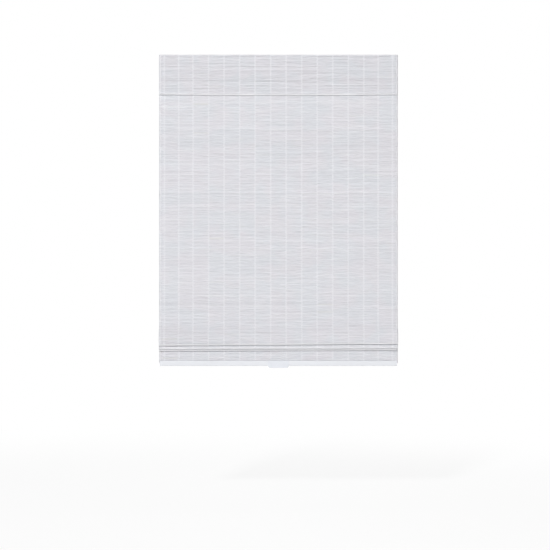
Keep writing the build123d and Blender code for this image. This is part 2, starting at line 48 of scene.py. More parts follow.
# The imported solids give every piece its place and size. Lengths are metres, X runs along the width,
# the room is on the -Y side and +Z is up.
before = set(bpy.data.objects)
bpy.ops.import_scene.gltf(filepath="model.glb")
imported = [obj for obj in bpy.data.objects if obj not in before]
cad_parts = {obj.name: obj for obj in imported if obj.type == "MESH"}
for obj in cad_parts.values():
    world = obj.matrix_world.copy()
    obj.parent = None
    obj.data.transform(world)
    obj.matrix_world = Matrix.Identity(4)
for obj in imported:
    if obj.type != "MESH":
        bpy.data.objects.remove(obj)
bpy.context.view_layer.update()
mat_low, mat_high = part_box("shade_mat")
rail_low, rail_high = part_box("bottom_rail")
valance_low, valance_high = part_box("valance")
handle_low, handle_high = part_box("handle")
ring_boxes = {number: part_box(f"ring_row_{number}") for number in range(1, 10)}
turns_low, turns_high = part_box("cord_turns")
cords_low, cords_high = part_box("lift_cords")

half_width = mat_high.x
rail_y = (rail_low.y + rail_high.y) / 2
shaft_z = cords_high.z
cord_y = (cords_low.y + cords_high.y) / 2
cord_radius = (cords_high.y - cords_low.y) / 2
cord_places = (cords_low.x + cord_radius, 0.0, cords_high.x - cord_radius)

# Warp columns: the middle of each one along X, and the strands that lie side by side in it
column_pitch = 0.0586
inner_count = 12
edge_insets = (0.074, 0.020)
selvage_inset = 0.0045
inner_columns = [(i - (inner_count - 1) / 2) * column_pitch for i in range(inner_count)]
edge_columns = [side * (half_width - inset) for side in (-1, 1) for inset in edge_insets]
selvages = [-half_width + selvage_inset, half_width - selvage_inset]
strands_in_column = 4
selvage_closeness = 0.68

# Route of the mat, from its top edge down the flat part, through three gathered folds, to the rail
layer_pitch = 0.0038
turn_radius = 0.00185
flat_bend = 0.024
slope_bend = 0.004
stack_pitch = 0.011
front_half = 0.079
fold_heights = (0.0795, 0.064, 0.057)
reed_face = 0.001
yarn_face = 0.00135
hem_drop = 0.1215
slope = math.acos(2 * layer_pitch / stack_pitch)
layer_drop = layer_pitch / math.cos(slope)
fold_lows = [rail_low.z + height for height in fold_heights]
front_layer = 2 * len(fold_lows)
gather_z = (fold_lows[0] + front_half - front_layer * layer_pitch / math.cos(slope)
            + front_layer * layer_pitch * math.tan(slope))

# Sections of the flat part: the lengths of the end sections as a share of the flat part, and the share of
# the lift that each section starts with.
slow_end = 0.1442
lift_shares = (0.0, 0.1, 0.9, 1.0)
past_last_reed = 9999

# How much of the extra droop at the left each gathered fold takes, from the front fold to the back one
droop_shares = (1.0, 0.5, 0.5)


def sloped_z(layer, forward):
    """Height of a sloping layer at a distance in front of the mat's own plane."""
    return gather_z - forward * math.tan(slope) - (front_layer - layer) * layer_drop


def mat_route():
    """Corners of the mat's middle line as (y, z, bend radius)."""
    def bend(layer):
        return slope_bend + (layer - 1) * layer_pitch

    tip_reach = layer_pitch / 2 * math.sin(slope)
    tip_shift = layer_pitch / 2 * (1 - math.cos(slope))
    corners = [(rail_y, mat_high.z, 0.0), (rail_y, gather_z, flat_bend)]
    for fold, low in enumerate(fold_lows):
        down, up, low_z = front_layer - 2 * fold, front_layer - 2 * fold - 1, low + yarn_face
        corners.append((rail_y - down * layer_pitch, sloped_z(down, down * layer_pitch), bend(down)))
        corners.append((rail_y - down * layer_pitch, low_z, turn_radius))
        corners.append((rail_y - up * layer_pitch, low_z, turn_radius))
        if up > 1:
            outer, inner = tip_shift + tip_reach, tip_shift - tip_reach
            corners.append((rail_y - up * layer_pitch, sloped_z(up, up * layer_pitch), bend(up)))
            corners.append((rail_y - outer, sloped_z(up, outer), turn_radius))
            corners.append((rail_y - inner, sloped_z(up - 1, inner), turn_radius))
    last_z = sloped_z(1, layer_pitch / 2)
    corners += [(rail_y - layer_pitch, last_z, turn_radius), (rail_y, last_z, turn_radius)]
    corners.append((rail_y, mat_low.z, 0.0))
    return corners


def valance_route():
    """Corners of the valance's middle line: down its front, and up behind for the hem."""
    front_y, back_y = valance_low.y + reed_face, valance_high.y - reed_face
    low_z = valance_low.z + reed_face
    return [
        (front_y, valance_high.z, 0.0),
        (front_y, low_z, turn_radius),
        (back_y, low_z, turn_radius),
        (back_y, valance_high.z - hem_drop, 0.0),
    ]


# Sizes and colours


class ReedSettings(bpy.types.PropertyGroup):
    """Sizes and paint of the reeds"""
    pitch: FloatProperty(
        name="Pitch", description="Distance from one reed to the next",
        default=0.0033, subtype="DISTANCE")
    width: FloatProperty(
        name="Width", description="Width of one flat reed",
        default=0.0034, subtype="DISTANCE")
    thickness: FloatProperty(
        name="Thickness", description="Thickness of one reed",
        default=0.0017, subtype="DISTANCE")
    wander: FloatProperty(
        name="Wander", description="How far a reed strays between the columns",
        default=0.00032, subtype="DISTANCE")
    seed: IntProperty(
        name="Seed", description="Seed of the reeds' unevenness",
        default=7)
    # How far the painted highlight along each lower edge reaches
    rim_highlight: FloatProperty(
        name="Rim", description="How far the paler paint reaches from a lower edge",
        default=0.0075, subtype="DISTANCE")
    askew: FloatProperty(
        name="Askew", description="How much lower the front fold hangs at its left end",
        default=0.0036, subtype="DISTANCE")
    valance_sag: FloatProperty(
        name="Valance sag", description="How far the valance's lower edge dips at mid-width",
        default=0.0022, subtype="DISTANCE")
    pale: FloatVectorProperty(
        name="Pale reed", description="Colour of most of the paint",
        default=(0.695, 0.695, 0.727), size=3, subtype="COLOR")
    bright: FloatVectorProperty(
        name="Bright reed", description="Colour of the whitest streaks",
        default=(0.80, 0.80, 0.83), size=3, subtype="COLOR")
    deep: FloatVectorProperty(
        name="Deep reed", description="Colour where the grain shows through",
        default=(0.575, 0.575, 0.605), size=3, subtype="COLOR")
    lilac: FloatVectorProperty(
        name="Lilac tint", description="Colour of the pinker patches",
        default=(0.695, 0.665, 0.70), size=3, subtype="COLOR")
    green: FloatVectorProperty(
        name="Green tint", description="Colour of the cooler patches",
        default=(0.645, 0.675, 0.71), size=3, subtype="COLOR")
    # Colour of the painted highlight on the lower edges
    rim_highlight_colour: FloatVectorProperty(
        name="Rim paint", description="Colour of the lower edges",
        default=(0.95, 0.95, 0.97), size=3, subtype="COLOR")
    straw: FloatVectorProperty(
        name="Straw tint", description="Colour of the few reeds that stay yellowish",
        default=(0.67, 0.665, 0.60), size=3, subtype="COLOR")


class YarnSettings(bpy.types.PropertyGroup):
    """Sizes and colour of the warp yarns"""
    radius: FloatProperty(
        name="Radius", description="Radius of one warp strand",
        default=0.0006, subtype="DISTANCE")
    spread: FloatProperty(
        name="Spread", description="Distance between the strands of a column",
        default=0.0016, subtype="DISTANCE")
    lift: FloatProperty(
        name="Lift", description="How far a strand stands off the mat's middle as it crosses a reed",
        default=0.0010, subtype="DISTANCE")
    colour: FloatVectorProperty(
        name="Yarn", description="Colour of the warp yarn",
        default=(0.90, 0.90, 0.93), size=3, subtype="COLOR")


class CordSettings(bpy.types.PropertyGroup):
    """Sizes and colours of the rings and lift cords"""
    ring_bore: FloatProperty(
        name="Ring bore", description="Inner radius of a ring",
        default=0.0044, subtype="DISTANCE")
    thread: FloatProperty(
        name="Thread", description="Radius of the thread that ties a ring to the mat",
        default=0.0003, subtype="DISTANCE")
    turns: IntProperty(
        name="Turns", description="Turns of cord kept on each spool",
        default=7)
    colour: FloatVectorProperty(
        name="Cord", description="Colour of the braided cord",
        default=(0.86, 0.86, 0.88), size=3, subtype="COLOR")
    plastic: FloatVectorProperty(
        name="Clear plastic", description="Colour of the rings and connectors",
        default=(0.84, 0.85, 0.87), size=3, subtype="COLOR")


class RailSettings(bpy.types.PropertyGroup):
    """Colours of the bottom rail and its handle"""
    enamel: FloatVectorProperty(
        name="Rail enamel", description="Colour of the bottom rail",
        default=(0.718, 0.732, 0.764), size=3, subtype="COLOR")
    plastic: FloatVectorProperty(
        name="Handle plastic", description="Colour of the handle and end caps",
        default=(0.704, 0.724, 0.768), size=3, subtype="COLOR")
    edge: FloatProperty(
        name="Edge", description="Radius of the handle's edges",
        default=0.0005, subtype="DISTANCE")


class HeadSettings(bpy.types.PropertyGroup):
    """Colours of what sits at the head of the shade"""
    paint: FloatVectorProperty(
        name="Headrail paint", description="Colour of the headrail",
        default=(0.80, 0.80, 0.80), size=3, subtype="COLOR")
    zinc: FloatVectorProperty(
        name="Zinc", description="Colour of the brackets' zinc",
        default=(0.60, 0.62, 0.64), size=3, subtype="COLOR")
    tape: FloatVectorProperty(
        name="Tape", description="Colour of the hook-and-loop tape",
        default=(0.78, 0.78, 0.77), size=3, subtype="COLOR")
    grey: FloatVectorProperty(
        name="Motor plastic", description="Colour of the spring motor's plastic",
        default=(0.26, 0.27, 0.29), size=3, subtype="COLOR")
    aluminium: FloatVectorProperty(
        name="Aluminium", description="Colour of the lift shaft",
        default=(0.78, 0.79, 0.80), size=3, subtype="COLOR")
    steel: FloatVectorProperty(
        name="Spring steel", description="Colour of the motor's spring band",
        default=(0.46, 0.48, 0.52), size=3, subtype="COLOR")


class StageSettings(bpy.types.PropertyGroup):
    """Place of the floor and the camera, and strength of the light from all around"""
    floor_drop: FloatProperty(
        name="Floor drop", description="How far the floor lies below the rail",
        default=0.53, subtype="DISTANCE")
    distance: FloatProperty(
        name="Camera distance", description="Distance from the camera to the shade",
        default=6.0, subtype="DISTANCE")
    span: FloatProperty(
        name="View width", description="Width that the picture spans at the shade",
        default=2.078, subtype="DISTANCE")
    aside: FloatProperty(
        name="View centre aside", description="Middle of the view, along X",
        default=-0.013, subtype="DISTANCE")
    height: FloatProperty(
        name="View centre height", description="Middle of the view, along Z",
        default=-0.832, subtype="DISTANCE")
    daylight: FloatProperty(
        name="Daylight", description="Strength of the light from all around",
        default=0.34)


# Nodes


def plug(tree, socket, value):
    """Links a value that comes from another node, or sets a plain one."""
    if isinstance(value, bpy.types.NodeSocket):
        tree.links.new(value, socket)
    else:
        socket.default_value = value


def put(tree, kind, **given):
    """A new node with its settings."""
    node = tree.nodes.new(kind)
    for key, value in given.items():
        setattr(node, key, value)
    return node


def feed(tree, node, **inputs):
    """Plugs a node's inputs, named with underscores for spaces, and returns its first output."""
    for key, value in inputs.items():
        plug(tree, node.inputs[key.replace("_", " ")], value)
    return node.outputs[0]


def calc(tree, operation, *values):
    """One step of arithmetic on sockets or numbers."""
    node = put(tree, "ShaderNodeMath", operation=operation)
    for socket, value in zip(node.inputs, values):
        plug(tree, socket, value)
    return node.outputs[0]


def plus(tree, first, *others):
    """Sum of sockets and numbers."""
    for value in others:
        first = calc(tree, "ADD", first, value)
    return first


def times(tree, first, *others):
    """Product of sockets and numbers."""
    for value in others:
        first = calc(tree, "MULTIPLY", first, value)
    return first


def weighted(tree, *shares):
    """Sum of sockets, each given with its weight."""
    return plus(tree, *(times(tree, socket, weight) for socket, weight in shares))


def vector_calc(tree, operation, *values, scale=None, out=0):
    """One step of vector arithmetic on sockets or triples."""
    node = put(tree, "ShaderNodeVectorMath", operation=operation)
    for socket, value in zip(node.inputs, values):
        plug(tree, socket, value)
    if scale is not None:
        plug(tree, node.inputs["Scale"], scale)
    return node.outputs[out]


def triple(tree, x=0.0, y=0.0, z=0.0):
    """A vector from three sockets or numbers."""
    return feed(tree, put(tree, "ShaderNodeCombineXYZ"), X=x, Y=y, Z=z)


def parts_of(tree, vector):
    """The three parts of a vector."""
    node = put(tree, "ShaderNodeSeparateXYZ")
    tree.links.new(vector, node.inputs[0])
    return node.outputs["X"], node.outputs["Y"], node.outputs["Z"]


# Geometry trees


def new_tree(name, sockets):
    """A Geometry Nodes tree with named inputs; returns the tree, its inputs and the end socket."""
    tree = bpy.data.node_groups.new(name, "GeometryNodeTree")
    tree.is_modifier = True
    tree.interface.new_socket("Geometry", in_out="INPUT", socket_type="NodeSocketGeometry")
    for label, kind, default in sockets:
        socket = tree.interface.new_socket(label, in_out="INPUT", socket_type=f"NodeSocket{kind}")
        if default is not None:
            socket.default_value = default
    tree.interface.new_socket("Geometry", in_out="OUTPUT", socket_type="NodeSocketGeometry")
    given = put(tree, "NodeGroupInput").outputs
    end = put(tree, "NodeGroupOutput").inputs["Geometry"]
    return tree, given, end


def named(tree, kind, name):
    """The attribute of that name."""
    node = put(tree, "GeometryNodeInputNamedAttribute", data_type=kind)
    node.inputs["Name"].default_value = name
    return node.outputs["Attribute"]


def store(tree, geometry, kind, domain, name, value):
    """The geometry with a value stored under a name."""
    node = put(tree, "GeometryNodeStoreNamedAttribute", data_type=kind, domain=domain)
    return feed(tree, node, Geometry=geometry, Name=name, Value=value)


def mapped(tree, geometry, u, v):
    """The geometry with its UV map."""
    return store(tree, geometry, "FLOAT2", "CORNER", "UVMap", triple(tree, u, v))


def finished(tree, geometry, material):
    """The geometry in its material."""
    return feed(tree, put(tree, "GeometryNodeSetMaterial"), Geometry=geometry, Material=material)


def circle(tree, sides, radius):
    """A round curve."""
    return feed(tree, put(tree, "GeometryNodeCurvePrimitiveCircle", mode="RADIUS"),
                Resolution=sides, Radius=radius)


def round_section(tree, sides, radius):
    """A strand's section, whose points know how far round it they lie."""
    factor = put(tree, "GeometryNodeSplineParameter").outputs["Factor"]
    return store(tree, circle(tree, sides, radius), "FLOAT", "POINT", "turn", factor)


def swept(tree, curve, section, caps=False):
    """The section drawn along the curve."""
    return feed(tree, put(tree, "GeometryNodeCurveToMesh"),
                Curve=curve, Profile_Curve=section, Fill_Caps=caps)


def placed_at(tree, points, instance, **turn_and_size):
    """The instance at every point."""
    return feed(tree, put(tree, "GeometryNodeInstanceOnPoints"), Points=points, Instance=instance,
                **turn_and_size)


def realized(tree, geometry):
    """The instances as a mesh of their own."""
    return feed(tree, put(tree, "GeometryNodeRealizeInstances"), Geometry=geometry)


def smoothed(tree, geometry):
    """The geometry, shaded smooth."""
    return feed(tree, put(tree, "GeometryNodeSetShadeSmooth"), Geometry=geometry, Shade_Smooth=True)


def routed_curve(tree, mesh, count):
    """The carrier's polylines as curves, rounded at each corner and divided evenly into reed places."""
    corner_steps = 10
    curve = feed(tree, put(tree, "GeometryNodeMeshToCurve"), Mesh=mesh)
    curve = feed(tree, put(tree, "GeometryNodeFilletCurve", mode="POLY"), Curve=curve, Count=corner_steps,
                 Radius=named(tree, "FLOAT", "bend"), Limit_Radius=True)
    inset = calc(tree, "DIVIDE", 0.5, count)
    curve = feed(tree, put(tree, "GeometryNodeTrimCurve", mode="FACTOR"), Curve=curve, Start=inset,
                 End=calc(tree, "SUBTRACT", 1.0, inset))
    return feed(tree, put(tree, "GeometryNodeResampleCurve", mode="COUNT"), Curve=curve, Count=count)


def kept_span(tree, geometry, given):
    """Drops the points whose reed number is outside the tree's First and Last."""
    number = named(tree, "INT", "reed")
    outside = calc(tree, "MAXIMUM", calc(tree, "LESS_THAN", number, given["First"]),
                   calc(tree, "GREATER_THAN", number, given["Last"]))
    return feed(tree, put(tree, "GeometryNodeDeleteGeometry", domain="POINT"),
                Geometry=geometry, Selection=outside)


def reed_tree():
    """Reeds laid side by side along a rounded route, each a little uneven in place, width and line."""
    tree, given, end = new_tree("Reeds along a route", [
        ("Reed", "Object", None), ("Reeds", "Int", 100), ("First", "Int", 0), ("Last", "Int", 99),
        ("Pitch", "Float", 0.0033), ("Wander", "Float", 0.0004), ("Seed", "Int", 0),
        ("Finish", "Material", None),
    ])
    tone_seed, thickness_seed, width_seed, line_seed, place_seed, proud_seed = 11, 23, 31, 47, 53, 59
    thickness_range, width_range = (0.85, 1.05), (0.93, 1.09)
    place_share, proud_share = 0.6, 0.35
    rib_numbers = 40.0

    def scatter(low, high, seed, number):
        """A random value for each number."""
        node = put(tree, "FunctionNodeRandomValue", data_type="FLOAT")
        node.inputs[2].default_value, node.inputs[3].default_value = low, high
        feed(tree, node, ID=number, Seed=plus(tree, given["Seed"], seed))
        return node.outputs[1]

    number = named(tree, "INT", "reed")
    along = named(tree, "FLOAT_VECTOR", "along")
    curve = routed_curve(tree, given["Geometry"], given["Reeds"])
    tangent = feed(tree, put(tree, "GeometryNodeInputTangent"))
    curve = store(tree, curve, "FLOAT_VECTOR", "POINT", "along", tangent)
    cloud = feed(tree, put(tree, "GeometryNodeCurveToPoints", mode="EVALUATED"), Curve=curve)
    cloud = store(tree, cloud, "INT", "POINT", "reed", feed(tree, put(tree, "GeometryNodeInputIndex")))
    cloud = kept_span(tree, cloud, given)
    cloud = store(tree, cloud, "FLOAT", "POINT", "tone", scatter(0.0, 1.0, tone_seed, number))
    reed = put(tree, "GeometryNodeObjectInfo", transform_space="ORIGINAL")
    feed(tree, reed, Object=given["Reed"])
    turn = feed(tree, put(tree, "FunctionNodeAlignRotationToVector", axis="Z", pivot_axis="X"), Vector=along)
    size = triple(tree, 1.0, scatter(*thickness_range, thickness_seed, number),
                  scatter(*width_range, width_seed, number))
    solid = realized(tree, placed_at(tree, cloud, reed.outputs["Geometry"], Rotation=turn, Scale=size))

    # Every rib strays along the route and out of it, and every reed as a whole along it
    x, _, _ = parts_of(tree, feed(tree, put(tree, "GeometryNodeInputPosition")))
    rib = plus(tree, times(tree, number, rib_numbers), named(tree, "INT", "rib"))
    jitter = times(tree, scatter(-1.0, 1.0, line_seed, rib), given["Wander"])
    stray = times(tree, scatter(-1.0, 1.0, place_seed, number), times(tree, given["Wander"], place_share))
    proud = times(tree, scatter(-1.0, 1.0, proud_seed, rib), times(tree, given["Wander"], proud_share))
    across = vector_calc(tree, "CROSS_PRODUCT", (1.0, 0.0, 0.0), along)
    shift = vector_calc(
        tree, "ADD",
        vector_calc(tree, "SCALE", along, scale=plus(tree, jitter, stray)),
        vector_calc(tree, "SCALE", across, scale=proud),
    )
    uneven = feed(tree, put(tree, "GeometryNodeSetPosition"), Geometry=solid, Offset=shift)
    run = plus(tree, times(tree, number, given["Pitch"]), named(tree, "FLOAT", "side"))
    uneven = mapped(tree, uneven, plus(tree, x, half_width), run)
    tree.links.new(finished(tree, uneven, given["Finish"]), end)
    return tree


def strand_tree():
    """Yarn strands that cross the reeds along a rounded route, over one and under the next."""
    tree, given, end = new_tree("Strands over reeds", [
        ("Reeds", "Int", 100), ("First", "Int", 0), ("Last", "Int", past_last_reed), ("Lift", "Float", 0.001),
        ("Radius", "Float", 0.0005), ("Sides", "Int", 4), ("Finish", "Material", None),
    ])
    curve = routed_curve(tree, given["Geometry"], given["Reeds"])
    spline = put(tree, "GeometryNodeSplineParameter").outputs
    odd = calc(tree, "MODULO", plus(tree, spline["Index"], named(tree, "INT", "phase")), 2.0)
    side = times(tree, calc(tree, "SUBTRACT", times(tree, odd, 2.0), 1.0), given["Lift"])
    tangent = feed(tree, put(tree, "GeometryNodeInputTangent"))
    across = vector_calc(tree, "NORMALIZE", vector_calc(tree, "CROSS_PRODUCT", (1.0, 0.0, 0.0), tangent))
    curve = feed(tree, put(tree, "GeometryNodeSetPosition"), Geometry=curve,
                 Offset=vector_calc(tree, "SCALE", across, scale=side))
    curve = store(tree, curve, "FLOAT", "POINT", "run", spline["Length"])
    curve = store(tree, curve, "INT", "POINT", "reed", spline["Index"])
    curve = kept_span(tree, curve, given)
    tube = swept(tree, curve, round_section(tree, given["Sides"], given["Radius"]), True)
    tube = mapped(tree, realized(tree, tube), named(tree, "FLOAT", "turn"), named(tree, "FLOAT", "run"))
    tree.links.new(finished(tree, tube, given["Finish"]), end)
    return tree


def tied_ring_tree():
    """Rings at the carrier's points, each with a few turns of thread round its edge towards the mat."""
    tree, given, end = new_tree("Tied rings", [
        ("Bore", "Float", 0.0044), ("Bar", "Float", 0.0008), ("Thread", "Float", 0.0003), ("Binds", "Int", 4),
        ("Finish", "Material", None), ("Thread Finish", "Material", None),
    ])
    ring_sides, bar_sides, loop_sides, thread_sides = 24, 8, 12, 5
    bind_pitch = 2.1
    middle = plus(tree, given["Bore"], given["Bar"])
    ring = swept(tree, circle(tree, ring_sides, middle), circle(tree, bar_sides, given["Bar"]))
    ring = finished(tree, ring, given["Finish"])

    loop = circle(tree, loop_sides, plus(tree, given["Bar"], given["Thread"]))
    bind = swept(tree, loop, circle(tree, thread_sides, given["Thread"]))
    bind = feed(tree, put(tree, "GeometryNodeTransform"),
                Geometry=bind, Rotation=(math.pi / 2, 0.0, math.pi / 2))
    gap = times(tree, given["Thread"], bind_pitch)
    start = times(tree, calc(tree, "SUBTRACT", given["Binds"], 1.0), gap, -0.5)
    row = feed(tree, put(tree, "GeometryNodeMeshLine", mode="OFFSET", count_mode="TOTAL"),
               Count=given["Binds"], Start_Location=triple(tree, start, times(tree, middle, -1.0)),
               Offset=triple(tree, gap))
    threads = finished(tree, placed_at(tree, row, bind), given["Thread Finish"])

    both = put(tree, "GeometryNodeJoinGeometry")
    tree.links.new(ring, both.inputs["Geometry"])
    tree.links.new(threads, both.inputs["Geometry"])
    solid = realized(tree, placed_at(tree, given["Geometry"], both.outputs["Geometry"]))
    tree.links.new(smoothed(tree, solid), end)
    return tree


def winding_tree():
    """Cord wound on a spool at each of the carrier's points, as one helix of even turns along X."""
    tree, given, end = new_tree("Wound cord", [
        ("Turns", "Int", 7), ("Radius", "Float", 0.0128), ("Cord", "Float", 0.00075),
        ("Width", "Float", 0.01), ("Finish", "Material", None),
    ])
    steps_in_turn, cord_sides = 28, 8
    spiral = feed(tree, put(tree, "GeometryNodeCurveSpiral"), Resolution=steps_in_turn,
                  Rotations=given["Turns"], Start_Radius=given["Radius"], End_Radius=given["Radius"],
                  Height=given["Width"])
    length = put(tree, "GeometryNodeSplineParameter").outputs["Length"]
    coil = store(tree, spiral, "FLOAT", "POINT", "run", length)
    tube = swept(tree, coil, round_section(tree, cord_sides, given["Cord"]), True)
    tube = feed(tree, put(tree, "GeometryNodeTransform"), Geometry=tube, Rotation=(0.0, math.pi / 2, 0.0))
    solid = realized(tree, placed_at(tree, given["Geometry"], tube))
    solid = mapped(tree, solid, named(tree, "FLOAT", "turn"), named(tree, "FLOAT", "run"))
    tree.links.new(finished(tree, smoothed(tree, solid), given["Finish"]), end)
    return tree


# Meshes


def mark_points(mesh, kind, name, values):
    """Stores a number on every point of a mesh."""
    mesh.attributes.new(name, kind, "POINT").data.foreach_set("value", values)


def linked(name, mesh):
    """A new object of the scene that holds the mesh."""
    piece = bpy.data.objects.new(name, mesh)
    bpy.context.scene.collection.objects.link(piece)
    return piece


def drop(helper):
    """Removes a helper object and its mesh."""
    mesh = helper.data
    bpy.data.objects.remove(helper)
    bpy.data.meshes.remove(mesh)


def carrier_object(name, points, edges=()):
    """A loose mesh of points and edges for a tree to work on."""
    mesh = bpy.data.meshes.new(name)
    mesh.from_pydata(points, edges, [])
    return linked(name, mesh)


def route_carrier(name, route, places, phases):
    """The route once at each place along X, with its bend radii and a phase for every strand."""
    points, edges, bends, marks = [], [], [], []
    for x, phase in zip(places, phases):
        first = len(points)
        points += [(x, y, z) for y, z, _ in route]
        edges += [(first + i, first + i + 1) for i in range(len(route) - 1)]
        bends += [radius for _, _, radius in route]
        marks += [phase] * len(route)
    carrier = carrier_object(name, points, edges)
    mark_points(carrier.data, "FLOAT", "bend", bends)
    mark_points(carrier.data, "INT", "phase", marks)
    return carrier


def plain_copy(piece):
    """The piece's mesh as its modifiers leave it."""
    graph = bpy.context.evaluated_depsgraph_get()
    return bpy.data.meshes.new_from_object(piece.evaluated_get(graph), depsgraph=graph)


def grow(carrier, tree, name, **inputs):
    """Runs a tree on the carrier and keeps the result as a plain mesh of that name."""
    modifier = carrier.modifiers.new("Build", "NODES")
    modifier.node_group = tree
    keys = {item.name: item.identifier for item in tree.interface.items_tree if item.in_out == "INPUT"}
    for label, value in inputs.items():
        modifier[keys[label.replace("_", " ")]] = value
    carrier.update_tag()
    bpy.context.view_layer.update()
    mesh = plain_copy(carrier)
    if not mesh.polygons:
        raise RuntimeError(f"{name} came out empty")
    mesh.name = name
    piece = linked(name, mesh)
    drop(carrier)
    return piece


def mesh_piece(name, shape, material, smooth=False):
    """A finished mesh from bmesh, with faces outward."""
    bmesh.ops.recalc_face_normals(shape, faces=shape.faces)
    mesh = bpy.data.meshes.new(name)
    shape.to_mesh(mesh)
    shape.free()
    for polygon in mesh.polygons:
        polygon.use_smooth = smooth
    mesh.materials.append(material)
    return linked(name, mesh)


# Finishes


def new_finish(name):
    """A new material with its tree and shader, or the one of that name, with None for both."""
    material = bpy.data.materials.get(name)
    if material is not None:
        return material, None, None
    material = bpy.data.materials.new(name)
    material.use_nodes = True
    tree = material.node_tree
    return material, tree, tree.nodes["Principled BSDF"]


def object_coords(tree):
    """Place on the piece, in metres of the shared frame."""
    return put(tree, "ShaderNodeTexCoord").outputs["Object"]


def uv_coords(tree):
    """Place on the piece's own map: round or across it, and along its route."""
    return put(tree, "ShaderNodeUVMap", uv_map="UVMap").outputs["UV"]


def stretched(tree, vector, scale):
    """Coordinates stretched by a factor along each axis."""
    return vector_calc(tree, "MULTIPLY", vector, scale)


def grain(tree, vector, scale=1.0, detail=2.0, rough=0.5):
    """Soft noise between 0 and 1."""
    return feed(tree, put(tree, "ShaderNodeTexNoise"),
                Vector=vector, Scale=scale, Detail=detail, Roughness=rough)


def cells(tree, vector, scale):
    """Small cells: how far a place is from its cell's middle, and a colour for each cell."""
    node = put(tree, "ShaderNodeTexVoronoi", feature="F1")
    feed(tree, node, Vector=vector, Scale=scale)
    return node.outputs["Distance"], node.outputs["Color"]


def steps(tree, factor, stops, ease):
    """Colour ramp through (position, colour) stops."""
    node = put(tree, "ShaderNodeValToRGB")
    node.color_ramp.interpolation = "EASE" if ease else "LINEAR"
    ramp = node.color_ramp.elements
    while len(ramp) < len(stops):
        ramp.new(0.5)
    for element, (place, colour) in zip(ramp, stops):
        element.position = place
        element.color = (*colour[:3], 1.0)
    return feed(tree, node, Fac=factor)


def fade(tree, factor, low, high):
    """0 below low, 1 above high, and a smooth step between."""
    return feed(tree, put(tree, "ShaderNodeMapRange", interpolation_type="SMOOTHSTEP"),
                Value=factor, From_Min=low, From_Max=high)


def blended(tree, factor, first, second):
    """A mix of two colours."""
    node = put(tree, "ShaderNodeMix", data_type="RGBA")
    plug(tree, node.inputs[0], factor)
    for socket, colour in ((node.inputs[6], first), (node.inputs[7], second)):
        plug(tree, socket, colour if isinstance(colour, bpy.types.NodeSocket) else (*colour[:3], 1.0))
    return node.outputs[2]


def shaded(tree, shader, factor, colour, darkest, low, high):
    """Base colour that rises from a darker share of the colour to the colour itself."""
    ramp = steps(tree, factor, [(low, [c * darkest for c in colour]), (high, list(colour))], True)
    feed(tree, shader, Base_Color=ramp)


def uneven_gloss(tree, shader, factor, low, high, smoothest, roughest):
    """Roughness that rises with the factor."""
    level = feed(tree, put(tree, "ShaderNodeMapRange"), Value=factor, From_Min=low, From_Max=high,
                 To_Min=smoothest, To_Max=roughest)
    feed(tree, shader, Roughness=level)


def bumped(tree, shader, height, strength, distance):
    """Relief too fine for the mesh."""
    bump = feed(tree, put(tree, "ShaderNodeBump"), Strength=strength, Distance=distance, Height=height)
    feed(tree, shader, Normal=bump)


